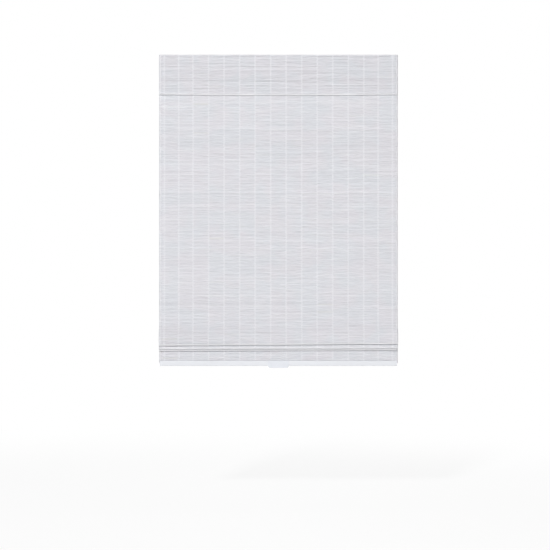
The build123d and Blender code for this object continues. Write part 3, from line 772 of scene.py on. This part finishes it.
def painted_reed():
    """White-washed reeds: streaks along each reed that change at every column, faint tints, and a painted
    highlight on the lower edges.
    """
    settings = bpy.context.scene.shade_reeds
    material, tree, shader = new_finish("white_washed_reed")
    if tree is None:
        return material
    first_column = (inner_count - 1) / 2 * column_pitch
    column_step, patch_step, patch_layer, straw_layer = 37.0, 0.02, 4.0, 19.0
    next_share, beat_length, beat_drift = 0.55, 0.0132, 16.0
    tint_share, straw_share, rim_highlight_share = 0.30, 0.25, 0.7

    u, v, _ = parts_of(tree, uv_coords(tree))
    reed, tone, rim_highlight = (put(tree, "ShaderNodeAttribute", attribute_name=name).outputs["Fac"]
                       for name in ("reed", "tone", "rim_highlight"))
    panel = plus(tree, u, column_pitch - half_width + first_column)
    panel = calc(tree, "FLOOR", calc(tree, "DIVIDE", panel, column_pitch))
    chance = put(tree, "ShaderNodeTexWhiteNoise", noise_dimensions="1D")
    tree.links.new(panel, chance.inputs["W"])
    own = times(tree, chance.outputs["Value"], column_step)

    def waves(along, down, run=v, detail=2.0, rough=0.6):
        """Noise by its waves per metre along a reed and down the route, new in every panel."""
        place = triple(tree, times(tree, u, along), times(tree, run, down), own)
        return grain(tree, place, detail=detail, rough=rough)

    # A reed's own streaks, sharpened against those of the reed below it
    own_tone, next_tone = (waves(along=28.0, down=7.31, run=number)
                           for number in (reed, plus(tree, reed, 1.0)))
    streak = calc(tree, "SUBTRACT", own_tone, times(tree, calc(tree, "SUBTRACT", next_tone, 0.5), next_share))
    drift = waves(along=5.0, down=11.0, detail=1.0, rough=0.5)
    beat = calc(tree, "SINE", weighted(tree, (v, 2 * math.pi / beat_length), (drift, beat_drift)))
    fine = waves(along=30.0, down=520.0)
    mixed = weighted(tree, (streak, 0.62), (fine, 0.24), (tone, 0.14), (beat, 0.030))
    wood = steps(tree, mixed, [(0.30, settings.deep), (0.50, settings.pale), (0.70, settings.bright)], False)

    # Pinker and cooler patches, a few yellowish reeds, and a painted highlight round the lower edges
    patch_at = triple(tree, weighted(tree, (u, 9.0), (own, patch_step)), times(tree, v, 12.0), patch_layer)
    tint = blended(tree, fade(tree, grain(tree, patch_at), 0.38, 0.62), settings.lilac, settings.green)
    colour = blended(tree, tint_share, wood, tint)
    straw_at = triple(tree, times(tree, panel, 1.7), times(tree, v, 46.0), straw_layer)
    straw = times(tree, fade(tree, grain(tree, straw_at), 0.66, 0.74), straw_share)
    colour = blended(tree, straw, colour, settings.straw)
    # Painted highlight: the reeds that turn round a lower edge are lightened towards the rim colour
    colour = blended(tree, times(tree, rim_highlight, rim_highlight_share), colour, settings.rim_highlight_colour)

    fibre = waves(along=60.0, down=2600.0, detail=3.0)
    feed(tree, shader, Base_Color=colour, Specular_IOR_Level=0.35)
    uneven_gloss(tree, shader, fibre, low=0.25, high=0.75, smoothest=0.52, roughest=0.74)
    bumped(tree, shader, fibre, strength=0.3, distance=0.0002)
    return material


def twisted_yarn(name, colour, pitch, rough=0.7):
    """Spun yarn or braided cord: plies that run round the strand at a slant."""
    material, tree, shader = new_finish(name)
    if tree is None:
        return material
    plies = 2
    turn, run, _ = parts_of(tree, uv_coords(tree))
    slant = plus(tree, turn, calc(tree, "DIVIDE", run, pitch))
    wave = calc(tree, "SINE", times(tree, slant, 2 * math.pi * plies))
    ply = plus(tree, times(tree, wave, 0.5), 0.5)
    fuzz = grain(tree, object_coords(tree), scale=900.0, detail=3.0, rough=0.6)
    # The ply crowns keep the yarn's colour and the grooves between them are painted darker as painted shade;
    # the same relief drives the bump
    shade = weighted(tree, (ply, 0.6), (fuzz, 0.4))
    shaded(tree, shader, shade, colour, darkest=0.82, low=0.1, high=0.75)
    feed(tree, shader, Roughness=rough, Sheen_Weight=0.25, Sheen_Roughness=0.5)
    bumped(tree, shader, shade, strength=0.5, distance=0.0002)
    return material


def moulded_plastic(name, colour, rough=0.42):
    """Moulded plastic with a fine etched grain and faint flow shade."""
    material, tree, shader = new_finish(name)
    if tree is None:
        return material
    place = object_coords(tree)
    etch = grain(tree, place, scale=2100.0)
    flow = grain(tree, place, scale=25.0)
    shaded(tree, shader, flow, colour, darkest=0.965, low=0.3, high=0.7)
    uneven_gloss(tree, shader, etch, low=0.3, high=0.7, smoothest=rough - 0.06, roughest=rough + 0.08)
    bumped(tree, shader, etch, strength=0.12, distance=0.0001)
    return material


def enamelled_metal(name, colour, rough=0.34):
    """Baked enamel on metal: a faint orange peel, and lines drawn along the length."""
    material, tree, shader = new_finish(name)
    if tree is None:
        return material
    place = object_coords(tree)
    peel = grain(tree, place, scale=420.0)
    drawn = grain(tree, stretched(tree, place, (3.0, 700.0, 700.0)))
    cloud = grain(tree, stretched(tree, place, (3.0, 12.0, 12.0)), detail=3.0)
    shaded(tree, shader, cloud, colour, darkest=0.97, low=0.3, high=0.7)
    uneven_gloss(tree, shader, drawn, low=0.3, high=0.7, smoothest=rough - 0.05, roughest=rough + 0.08)
    feed(tree, shader, Coat_Weight=0.1, Coat_Roughness=0.25)
    bumped(tree, shader, weighted(tree, (peel, 0.6), (drawn, 0.4)), strength=0.1, distance=0.0002)
    return material


def bare_metal(name, colour, rough=0.35, spangle=0.0, along=(4.0, 500.0, 500.0)):
    """Bare metal with drawn or rolled lines, and zinc spangle where it is plated."""
    material, tree, shader = new_finish(name)
    if tree is None:
        return material
    place = object_coords(tree)
    lines = grain(tree, stretched(tree, place, along), detail=3.0, rough=0.6)
    _, flake_colour = cells(tree, place, scale=160.0)
    flake, _, _ = parts_of(tree, flake_colour)
    level = weighted(tree, (lines, 1.0 - spangle), (flake, spangle))
    shaded(tree, shader, level, colour, darkest=0.82, low=0.2, high=0.8)
    uneven_gloss(tree, shader, level, low=0.2, high=0.8, smoothest=rough - 0.08, roughest=rough + 0.12)
    feed(tree, shader, Metallic=1.0)
    bumped(tree, shader, lines, strength=0.15, distance=0.0001)
    return material


def woven_tape():
    """Hook-and-loop tape: a close weave under a pile of tiny loops."""
    material, tree, shader = new_finish("loop_tape")
    if tree is None:
        return material
    thread_waves = 7000.0
    place = object_coords(tree)
    loops, _ = cells(tree, place, scale=1400.0)
    x, _, z = parts_of(tree, place)
    weft, warp = (calc(tree, "SINE", times(tree, way, thread_waves)) for way in (x, z))
    weave = plus(tree, times(tree, weft, warp, 0.3), loops)
    shaded(tree, shader, weave, bpy.context.scene.shade_head.tape, darkest=0.8, low=0.0, high=0.8)
    feed(tree, shader, Roughness=0.85, Sheen_Weight=0.3)
    bumped(tree, shader, weave, strength=0.6, distance=0.0004)
    return material


def dress(nodes, material):
    """Gives carried-over solids their finish through their own material slots."""
    for name in nodes:
        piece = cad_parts[name]
        if not piece.material_slots:
            piece.data.materials.append(material)
        for entry in piece.material_slots:
            entry.link = "OBJECT"
            entry.material = material


# Mat, valance and warp


def reed_shape():
    """One straight reed from edge to edge: a flattened six-sided bar with a rib at every column."""
    settings = bpy.context.scene.shade_reeds
    ribs_each_side, flat_share = 8, 0.45
    inner = [side * (i + 0.5) * column_pitch for side in (-1, 1) for i in range(ribs_each_side)]
    ribs = sorted({-half_width, half_width, *inner})
    half, rise = settings.width / 2, settings.thickness / 2
    flat = half * flat_share
    outline = [(0, -half), (-rise, -flat), (-rise, flat), (0, half), (rise, flat), (rise, -flat)]
    points, faces, marks, sides = [], [], [], []
    for number, x in enumerate(ribs):
        points += [(x, y, z) for y, z in outline]
        marks += [number] * len(outline)
        sides += [z for _, z in outline]
    count = len(outline)
    for rib in range(len(ribs) - 1):
        for i in range(count):
            j = (i + 1) % count
            faces.append((rib * count + i, rib * count + j, (rib + 1) * count + j, (rib + 1) * count + i))
    faces.append(tuple(range(count - 1, -1, -1)))
    faces.append(tuple(range(len(points) - count, len(points))))
    mesh = bpy.data.meshes.new("reed_shape")
    mesh.from_pydata(points, [], faces)
    mark_points(mesh, "INT", "rib", marks)
    mark_points(mesh, "FLOAT", "side", sides)
    shape = bmesh.new()
    shape.from_mesh(mesh)
    bmesh.ops.recalc_face_normals(shape, faces=shape.faces)
    shape.to_mesh(mesh)
    shape.free()
    for polygon in mesh.polygons:
        polygon.use_smooth = len(polygon.vertices) == 4
    return linked("reed_shape", mesh)


def route_length(route):
    """Length of a route with its corners rounded."""
    total = 0.0
    for (y0, z0, _), (y1, z1, _) in zip(route, route[1:]):
        total += math.hypot(y1 - y0, z1 - z0)
    for (y0, z0, _), (y1, z1, radius), (y2, z2, _) in zip(route, route[1:], route[2:]):
        turn = math.atan2(z2 - z1, y2 - y1) - math.atan2(z1 - z0, y1 - y0)
        turn = abs((turn + math.pi) % (2 * math.pi) - math.pi)
        total += radius * (turn - 2 * math.tan(turn / 2))
    return total


def corner_runs(route):
    """Distance along the rounded route to the middle of each corner."""
    runs = [0.0]
    for i in range(1, len(route) - 1):
        head, tail = route_length(route[:i + 1]), route_length(route[:i + 2])
        runs.append(head + (tail - head - math.dist(route[i][:2], route[i + 1][:2])) / 2)
    return runs + [route_length(route)]


def lower_turns(route):
    """Distance along the route to the middle of each turn round a lower edge."""
    runs = corner_runs(route)
    return [(runs[i] + runs[i + 1]) / 2 for i in range(1, len(route) - 1)
            if math.isclose(route[i][1], route[i + 1][1]) and route[i - 1][1] > route[i][1]]


def reed_runs(piece):
    """Distance along the route of the reed that each point of the piece belongs to."""
    numbers = [0] * len(piece.data.vertices)
    piece.data.attributes["reed"].data.foreach_get("value", numbers)
    return [(number + 0.5) * bpy.context.scene.shade_reeds.pitch for number in numbers]


def hang_askew(piece, route):
    """The gathered folds hang a little lower at the left, as a cord that holds a touch longer leaves them."""
    lower = bpy.context.scene.shade_reeds.askew
    runs = corner_runs(route)
    knots = [(0.0, 0.0), (runs[1], 0.0), *zip(lower_turns(route), droop_shares), (runs[-1], 0.0)]
    for vertex, run in zip(piece.data.vertices, reed_runs(piece)):
        for (start, low), (stop, high) in zip(knots, knots[1:]):
            if start <= run <= stop:
                share = low + (high - low) * (run - start) / (stop - start)
                vertex.co.z += share * lower * vertex.co.x / half_width
                break


def mark_rim_highlights(piece, route):
    """Marks the reeds that turn round a lower edge, which get a painted highlight."""
    reach = bpy.context.scene.shade_reeds.rim_highlight
    turns = lower_turns(route)
    marks = [min(1.0, max(0.0, *(2 - 2 * abs(run - turn) / reach for turn in turns)))
             for run in reed_runs(piece)]
    mark_points(piece.data, "FLOAT", "rim_highlight", marks)


def sag_valance(piece):
    """The valance's free lower edge dips slightly at mid-width, where only its tape holds it."""
    depth = bpy.context.scene.shade_reeds.valance_sag
    for vertex in piece.data.vertices:
        share = max(0.0, (valance_high.z - vertex.co.z) / (valance_high.z - valance_low.z)) ** 2
        vertex.co.z -= depth * share * (1 - (vertex.co.x / half_width) ** 2)


def reed_count(route):
    """How many reeds fill a route."""
    return round(route_length(route) / bpy.context.scene.shade_reeds.pitch)


def lay_reeds(name, route, first=0, last=past_last_reed):
    """A wall of reeds along a route, or of those numbered first to last."""
    settings = bpy.context.scene.shade_reeds
    reed = reed_shape()
    carrier = route_carrier(name + "_route", route, [0.0], [0])
    piece = grow(carrier, reed_tree(), name, Reed=reed, Reeds=reed_count(route), First=first, Last=last,
                 Pitch=settings.pitch, Wander=settings.wander, Seed=settings.seed, Finish=painted_reed())
    drop(reed)
    return piece


def strand_places(wanted):
    """Places and phases of the strands of every warp column that passes the test."""
    spacing = bpy.context.scene.shade_yarns.spread
    columns = [(middle, spacing) for middle in inner_columns + edge_columns]
    columns += [(middle, spacing * selvage_closeness) for middle in selvages]
    found = [(middle + (i - (strands_in_column - 1) / 2) * gap, i)
             for middle, gap in columns for i in range(strands_in_column)]
    chosen = sorted(place for place in found if wanted(place[0]))
    return [x for x, _ in chosen], [phase for _, phase in chosen]


def lay_strands(name, route, wanted, first=0, last=past_last_reed):
    """Warp strands along a route, at every column that passes the test, over the reeds first to last."""
    settings = bpy.context.scene.shade_yarns
    carrier = route_carrier(name + "_route", route, *strand_places(wanted))
    finish = twisted_yarn("warp_yarn_twist", settings.colour, pitch=0.0022)
    return grow(carrier, strand_tree(), name, Reeds=reed_count(route), First=first, Last=last,
                Lift=settings.lift, Radius=settings.radius, Finish=finish)


def lift_sections():
    """Sections of the mat as (name, first reed, last reed, top, low), each end with its height and its
    share of the lift."""
    flat = mat_high.z - gather_z
    heights = (mat_high.z, mat_high.z - slow_end * flat, gather_z + slow_end * flat, gather_z)
    pitch = bpy.context.scene.shade_reeds.pitch
    numbers = [0, *(round((mat_high.z - height) / pitch) for height in heights[1:3]), past_last_reed + 1]
    ends = list(zip(heights, lift_shares))
    return [(part, numbers[i], numbers[i + 1] - 1, ends[i], ends[i + 1])
            for i, part in enumerate(("upper", "middle", "folds"))]


def bend_with_lift(piece):
    """Bakes the piece's placement into its mesh."""
    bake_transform(piece)


class SHADE_OT_mat(bpy.types.Operator):
    """Lays the reeds of the mat along the flat part, the folds and the free flap"""
    bl_idname = "roman_shade.mat"
    bl_label = "Reed mat"

    def execute(self, context):
        for part, first, last, top, low in lift_sections():
            mat = lay_reeds(f"reed_mat_{part}", mat_route(), first, last)
            hang_askew(mat, mat_route())
            mark_rim_highlights(mat, mat_route())
            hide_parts("shade_mat")
            bend_with_lift(mat)
        return {"FINISHED"}


class SHADE_OT_warp(bpy.types.Operator):
    """Weaves the warp strands through the mat at every column"""
    bl_idname = "roman_shade.warp"
    bl_label = "Warp yarns"

    def execute(self, context):
        for side, wanted in (("left", lambda x: x < 0), ("right", lambda x: x > 0)):
            for part, first, last, top, low in lift_sections():
                strands = lay_strands(f"warp_{side}_{part}", mat_route(), wanted, first, last + 1)
                hang_askew(strands, mat_route())
                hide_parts("warp_yarns")
                bend_with_lift(strands)
        return {"FINISHED"}


class SHADE_OT_valance(bpy.types.Operator):
    """Lays the reeds and yarns of the valance with its turned-up hem"""
    bl_idname = "roman_shade.valance"
    bl_label = "Valance"

    def execute(self, context):
        reeds = lay_reeds("valance_reeds", valance_route())
        sag_valance(reeds)
        mark_rim_highlights(reeds, valance_route())
        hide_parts("valance")
        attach(reeds, "head")
        strands = lay_strands("valance_strands", valance_route(), lambda x: True)
        sag_valance(strands)
        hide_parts("valance_yarns")
        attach(strands, "head")
        return {"FINISHED"}


# Rings and cords


class SHADE_OT_rings(bpy.types.Operator):
    """Ties the rows of rings to the back of the mat"""
    bl_idname = "roman_shade.rings"
    bl_label = "Rings"

    def execute(self, context):
        settings = context.scene.shade_cords
        first_rising_row = 5
        clear = moulded_plastic("ring_plastic", settings.plastic, rough=0.28)
        thread = twisted_yarn("tie_thread", context.scene.shade_yarns.colour, pitch=0.0012)
        tree = tied_ring_tree()
        for number, (low, high) in ring_boxes.items():
            height = (low.z + high.z) / 2
            carrier = carrier_object(f"ring_places_{number}", [(x, cord_y, height) for x in cord_places])
            outer = (high.y - low.y) / 2
            bar = min((outer - settings.ring_bore) / 2, (high.z - low.z) / 2)
            rings = grow(carrier, tree, f"rings_{number}", Bore=outer - 2 * bar, Bar=bar,
                         Thread=settings.thread, Finish=clear, Thread_Finish=thread)
            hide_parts(f"ring_row_{number}")
            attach(rings, "bottom" if number < first_rising_row else f"ring_row_{number}_body")
        return {"FINISHED"}


class SHADE_OT_cords(bpy.types.Operator):
    """Runs the lift cords from the spools to their connectors, and winds the turns on the spools"""
    bl_idname = "roman_shade.cords"
    bl_label = "Lift cords"

    def execute(self, context):
        settings = context.scene.shade_cords
        cord_steps, cord_sides = 120, 8
        braid = twisted_yarn("braided_cord", settings.colour, pitch=0.003, rough=0.6)
        drop = [(cord_y, cords_high.z, 0.0), (cord_y, cords_low.z, 0.0)]
        carrier = route_carrier("cord_lines", drop, cord_places, [0] * len(cord_places))
        cords = grow(carrier, strand_tree(), "braided_lift_cords", Reeds=cord_steps, Lift=0.0,
                     Radius=cord_radius, Sides=cord_sides, Finish=braid)
        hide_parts("lift_cords")
        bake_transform(cords)

        radius = (turns_high.z - turns_low.z) / 2 - cord_radius
        first_inset, both_insets = 1.6 * cord_radius, 3 * cord_radius
        width = (turns_high.x - cord_places[2]) - both_insets
        spool_y = (turns_low.y + turns_high.y) / 2
        starts = [(x + first_inset, spool_y, shaft_z) for x in cord_places]
        turns = grow(carrier_object("winding_places", starts), winding_tree(), "wound_cord",
                     Turns=settings.turns, Radius=radius, Cord=cord_radius, Width=width, Finish=braid)
        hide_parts("cord_turns")
        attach(turns, "shaft")
        dress(["cord_connectors"], moulded_plastic("ring_plastic", settings.plastic, rough=0.28))
        return {"FINISHED"}


# Rail and handle


def make_handle(edge, material):
    """Clip round the rail with a finger lip below, its lower corners cut and its edges softened."""
    wall, lip, chamfer, back, slack = 0.002, 0.0074, 0.005, 0.013, 0.0002
    front_y, back_y = handle_low.y, handle_high.y
    under = rail_low.z - slack - wall
    section = [
        (front_y, rail_high.z), (front_y + wall, rail_high.z), (front_y + wall, under + wall),
        (back_y - wall, under + wall), (back_y - wall, rail_low.z + back), (back_y, rail_low.z + back),
        (back_y, under), (front_y + wall, under), (front_y + wall, rail_low.z - lip),
        (front_y, rail_low.z - lip),
    ]
    low, high = handle_low.x, handle_high.x
    shape = bmesh.new()
    first = shape.faces.new([shape.verts.new((low, y, z)) for y, z in section])
    pushed = bmesh.ops.extrude_face_region(shape, geom=[first])
    bmesh.ops.translate(shape, vec=(high - low, 0, 0),
                        verts=[v for v in pushed["geom"] if isinstance(v, bmesh.types.BMVert)])
    bmesh.ops.recalc_face_normals(shape, faces=shape.faces)
    lowest, same = min(v.co.z for v in shape.verts), 1e-6
    corners = [e for e in shape.edges if all(abs(v.co.z - lowest) < same for v in e.verts)
               and abs(e.verts[0].co.x - e.verts[1].co.x) < same]
    bmesh.ops.bevel(shape, geom=corners, offset=chamfer, segments=1, profile=0.5, affect="EDGES",
                    clamp_overlap=True)
    piece = mesh_piece("handle_clip", shape, material, smooth=True)
    bevel = piece.modifiers.new("Edges", "BEVEL")
    bevel.width, bevel.segments, bevel.limit_method, bevel.angle_limit = edge, 3, "ANGLE", math.radians(30)
    normals = piece.modifiers.new("Normals", "WEIGHTED_NORMAL")
    normals.keep_sharp = True
    mesh = plain_copy(piece)
    piece.modifiers.clear()
    piece.data = mesh
    return piece


class SHADE_OT_rail(bpy.types.Operator):
    """Finishes the bottom rail and its caps, and makes the handle"""
    bl_idname = "roman_shade.rail"
    bl_label = "Bottom rail and handle"

    def execute(self, context):
        settings = context.scene.shade_rail
        dress(["bottom_rail"], enamelled_metal("rail_enamel", settings.enamel))
        plastic = moulded_plastic("handle_plastic", settings.plastic, rough=0.36)
        dress(["rail_cap_left", "rail_cap_right"], plastic)
        handle = make_handle(settings.edge, plastic)
        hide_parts("handle")
        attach(handle, "bottom")
        return {"FINISHED"}


# Head and lift gear


def make_tape(name, node, material):
    """A strip of tape with softened edges and a slightly uneven pile."""
    low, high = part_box(node)
    columns, rows = 150, 6
    edge_depth, pile_depth, pile_waves = 0.0003, 0.00005, (1.7, 2.3)
    shape = bmesh.new()
    skin = {}
    for face_y, inward in ((low.y, 1), (high.y, -1)):
        for i in range(columns + 1):
            for j in range(rows + 1):
                x = low.x + (high.x - low.x) * i / columns
                z = low.z + (high.z - low.z) * j / rows
                edge = min(j, rows - j, i, columns - i) == 0
                pile = pile_depth * (1 + math.sin(i * pile_waves[0] + j * pile_waves[1]))
                y = face_y + inward * (edge_depth if edge else pile)
                skin[face_y, i, j] = shape.verts.new((x, y, z))

    def cover(*corners):
        shape.faces.new([skin[corner] for corner in corners])

    for y in (low.y, high.y):
        for i in range(columns):
            for j in range(rows):
                cover((y, i, j), (y, i + 1, j), (y, i + 1, j + 1), (y, i, j + 1))
    for j in (0, rows):
        for i in range(columns):
            cover((low.y, i, j), (low.y, i + 1, j), (high.y, i + 1, j), (high.y, i, j))
    for i in (0, columns):
        for j in range(rows):
            cover((low.y, i, j), (low.y, i, j + 1), (high.y, i, j + 1), (high.y, i, j))
    return mesh_piece(name, shape, material, smooth=True)


class SHADE_OT_head(bpy.types.Operator):
    """Finishes the headrail, its caps and brackets, and lays both tapes"""
    bl_idname = "roman_shade.head"
    bl_label = "Headrail, brackets and tapes"

    def execute(self, context):
        settings = context.scene.shade_head
        zinc = bare_metal("zinc_plate", settings.zinc, rough=0.42, spangle=0.35, along=(60.0, 60.0, 60.0))
        dress(["headrail"], enamelled_metal("headrail_paint", settings.paint, rough=0.42))
        dress(["end_cap_left", "end_cap_right"], moulded_plastic("cap_plastic", settings.paint, rough=0.4))
        dress(["bracket_left", "bracket_right"], zinc)
        tape = woven_tape()
        for node in ("mat_tape", "valance_tape"):
            strip = make_tape(node + "_strip", node, tape)
            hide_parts(node)
            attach(strip, "head")
        return {"FINISHED"}


class SHADE_OT_lift(bpy.types.Operator):
    """Finishes the shaft, spools, cradles and spring motor"""
    bl_idname = "roman_shade.lift"
    bl_label = "Shaft, spools and motor"

    def execute(self, context):
        white = context.scene.shade_cords.plastic
        settings = context.scene.shade_head
        spool_white, drum_white = ([c * share for c in white] for share in (0.96, 0.9))
        places = ("left", "middle", "right")
        dress([f"cradle_{place}" for place in places], moulded_plastic("cradle_plastic", white, rough=0.4))
        dress([f"spool_{place}" for place in places],
              moulded_plastic("spool_plastic", spool_white, rough=0.34))
        dress(["motor_housing", "motor_cover"], moulded_plastic("motor_plastic", settings.grey, rough=0.46))
        dress(["output_drum", "storage_drum"], moulded_plastic("drum_plastic", drum_white, rough=0.38))
        dress(["lift_shaft"], bare_metal("drawn_aluminium", settings.aluminium, rough=0.3))
        dress(["spring_band"],
              bare_metal("spring_steel", settings.steel, rough=0.28, along=(500.0, 40.0, 40.0)))
        return {"FINISHED"}


# Stage

# Lamps as (name, place, power in watts, size)
LAMPS = (
    ("key_light", (-2.4, -8.0, 4.0), 575.0, 0.9),
    ("fill_light", (2.6, -3.6, -0.4), 8.0, 2.4),
    ("low_light", (0.2, -1.3, -1.6), 1.6, 1.2),
    ("rear_light", (1.6, 4.2, 0.6), 90.0, 1.8),
)
lit_place = Vector((0.0, rail_y, -0.6))
floor_radius = 14.0
sensor_width = 36.0
view_end = 60.0


def seen_as_ground(tree):
    """1 where the camera sees a surface, in a gloss or a clear piece too, and 0 where it only lights."""
    path = put(tree, "ShaderNodeLightPath").outputs
    return calc(tree, "MAXIMUM", path["Is Camera Ray"],
                calc(tree, "MAXIMUM", path["Is Glossy Ray"], path["Is Transmission Ray"]))


def pale_paper():
    """White paper floor that takes the shade's shadow and runs out to plain white; open from below."""
    material, tree, shader = new_finish("pale_paper")
    if tree is None:
        return material
    near, far, near_white = 1.2, 3.2, 0.84
    feed(tree, shader, Base_Color=(0.95, 0.95, 0.95, 1.0), Roughness=0.9, Specular_IOR_Level=0.0)
    x, y, _ = parts_of(tree, object_coords(tree))
    away = vector_calc(tree, "LENGTH", triple(tree, x, y), out=1)
    white = plus(tree, times(tree, fade(tree, away, near, far), 1.0 - near_white), near_white)
    glow = put(tree, "ShaderNodeEmission").outputs[0]
    clear = put(tree, "ShaderNodeBsdfTransparent").outputs[0]
    below = put(tree, "ShaderNodeNewGeometry").outputs["Backfacing"]
    surface = shader.outputs[0]
    for share, other in ((times(tree, white, seen_as_ground(tree)), glow), (below, clear)):
        mix = put(tree, "ShaderNodeMixShader")
        for socket, value in zip(mix.inputs, (share, surface, other)):
            tree.links.new(value, socket)
        surface = mix.outputs[0]
    tree.links.new(surface, tree.nodes["Material Output"].inputs["Surface"])
    return material


class SHADE_OT_stage(bpy.types.Operator):
    """Sets the camera, the pale floor and soft studio light"""
    bl_idname = "roman_shade.stage"
    bl_label = "Stage"

    def execute(self, context):
        settings = context.scene.shade_stage
        scene = context.scene
        scene.view_settings.view_transform = "Standard"
        data = bpy.data.cameras.new("shade_camera")
        camera = bpy.data.objects.new("shade_camera", data)
        camera.location = (settings.aside, rail_y - settings.distance, settings.height)
        camera.rotation_euler = (math.pi / 2, 0.0, 0.0)
        data.sensor_width = sensor_width
        data.lens = sensor_width * settings.distance / settings.span
        data.clip_end = view_end
        scene.collection.objects.link(camera)
        scene.camera = camera

        shape = bmesh.new()
        bmesh.ops.create_circle(shape, cap_ends=True, segments=64, radius=floor_radius)
        bmesh.ops.translate(shape, vec=(0.0, 0.0, rail_low.z - settings.floor_drop), verts=shape.verts)
        floor = mesh_piece("pale_floor", shape, pale_paper())
        if floor.data.polygons[0].normal.z < 0:
            floor.data.flip_normals()

        world = bpy.data.worlds.new("studio_world")
        scene.world = world
        world.use_nodes = True
        tree = world.node_tree
        brighter = times(tree, seen_as_ground(tree), 1.0 - settings.daylight)
        feed(tree, tree.nodes["Background"], Color=(1.0, 1.0, 1.0, 1.0),
             Strength=plus(tree, settings.daylight, brighter))

        for name, place, power, size in LAMPS:
            lamp_data = bpy.data.lights.new(name, "AREA")
            lamp_data.energy, lamp_data.size = power, size
            lamp = bpy.data.objects.new(name, lamp_data)
            lamp.location = place
            lamp.visible_camera = False
            lamp.rotation_euler = (lit_place - Vector(place)).to_track_quat("-Z", "Y").to_euler()
            scene.collection.objects.link(lamp)
        return {"FINISHED"}


# Add-on

GROUPS = {
    "shade_reeds": ReedSettings,
    "shade_yarns": YarnSettings,
    "shade_cords": CordSettings,
    "shade_rail": RailSettings,
    "shade_head": HeadSettings,
    "shade_stage": StageSettings,
}
OPERATORS = (
    SHADE_OT_stage, SHADE_OT_mat, SHADE_OT_warp, SHADE_OT_valance, SHADE_OT_rings, SHADE_OT_cords,
    SHADE_OT_rail, SHADE_OT_head, SHADE_OT_lift,
)


class SHADE_PT_panel(bpy.types.Panel):
    """Sidebar panel with the shade's settings and the button for each group of pieces"""
    bl_idname = "SHADE_PT_panel"
    bl_label = "Roman Shade"
    bl_space_type = "VIEW_3D"
    bl_region_type = "UI"
    bl_category = "Roman Shade"

    def draw(self, context):
        for operator in OPERATORS:
            self.layout.operator(operator.bl_idname, text=operator.bl_label)
        for key in GROUPS:
            box = self.layout.box()
            group = getattr(context.scene, key)
            for field in group.__annotations__:
                box.prop(group, field)


CLASSES = (*GROUPS.values(), *OPERATORS, SHADE_PT_panel)


def register():
    """Makes the settings, operators and panel known to Blender."""
    for cls in CLASSES:
        bpy.utils.register_class(cls)
    for key, group in GROUPS.items():
        setattr(bpy.types.Scene, key, PointerProperty(type=group))


def unregister():
    """Takes the settings, operators and panel out again."""
    for key in GROUPS:
        delattr(bpy.types.Scene, key)
    for cls in reversed(CLASSES):
        bpy.utils.unregister_class(cls)


def main():
    register()
    bpy.ops.roman_shade.stage()
    bpy.ops.roman_shade.mat()
    bpy.ops.roman_shade.warp()
    bpy.ops.roman_shade.valance()
    bpy.ops.roman_shade.rings()
    bpy.ops.roman_shade.cords()
    bpy.ops.roman_shade.rail()
    bpy.ops.roman_shade.head()
    bpy.ops.roman_shade.lift()


if __name__ == "__main__":
    main()
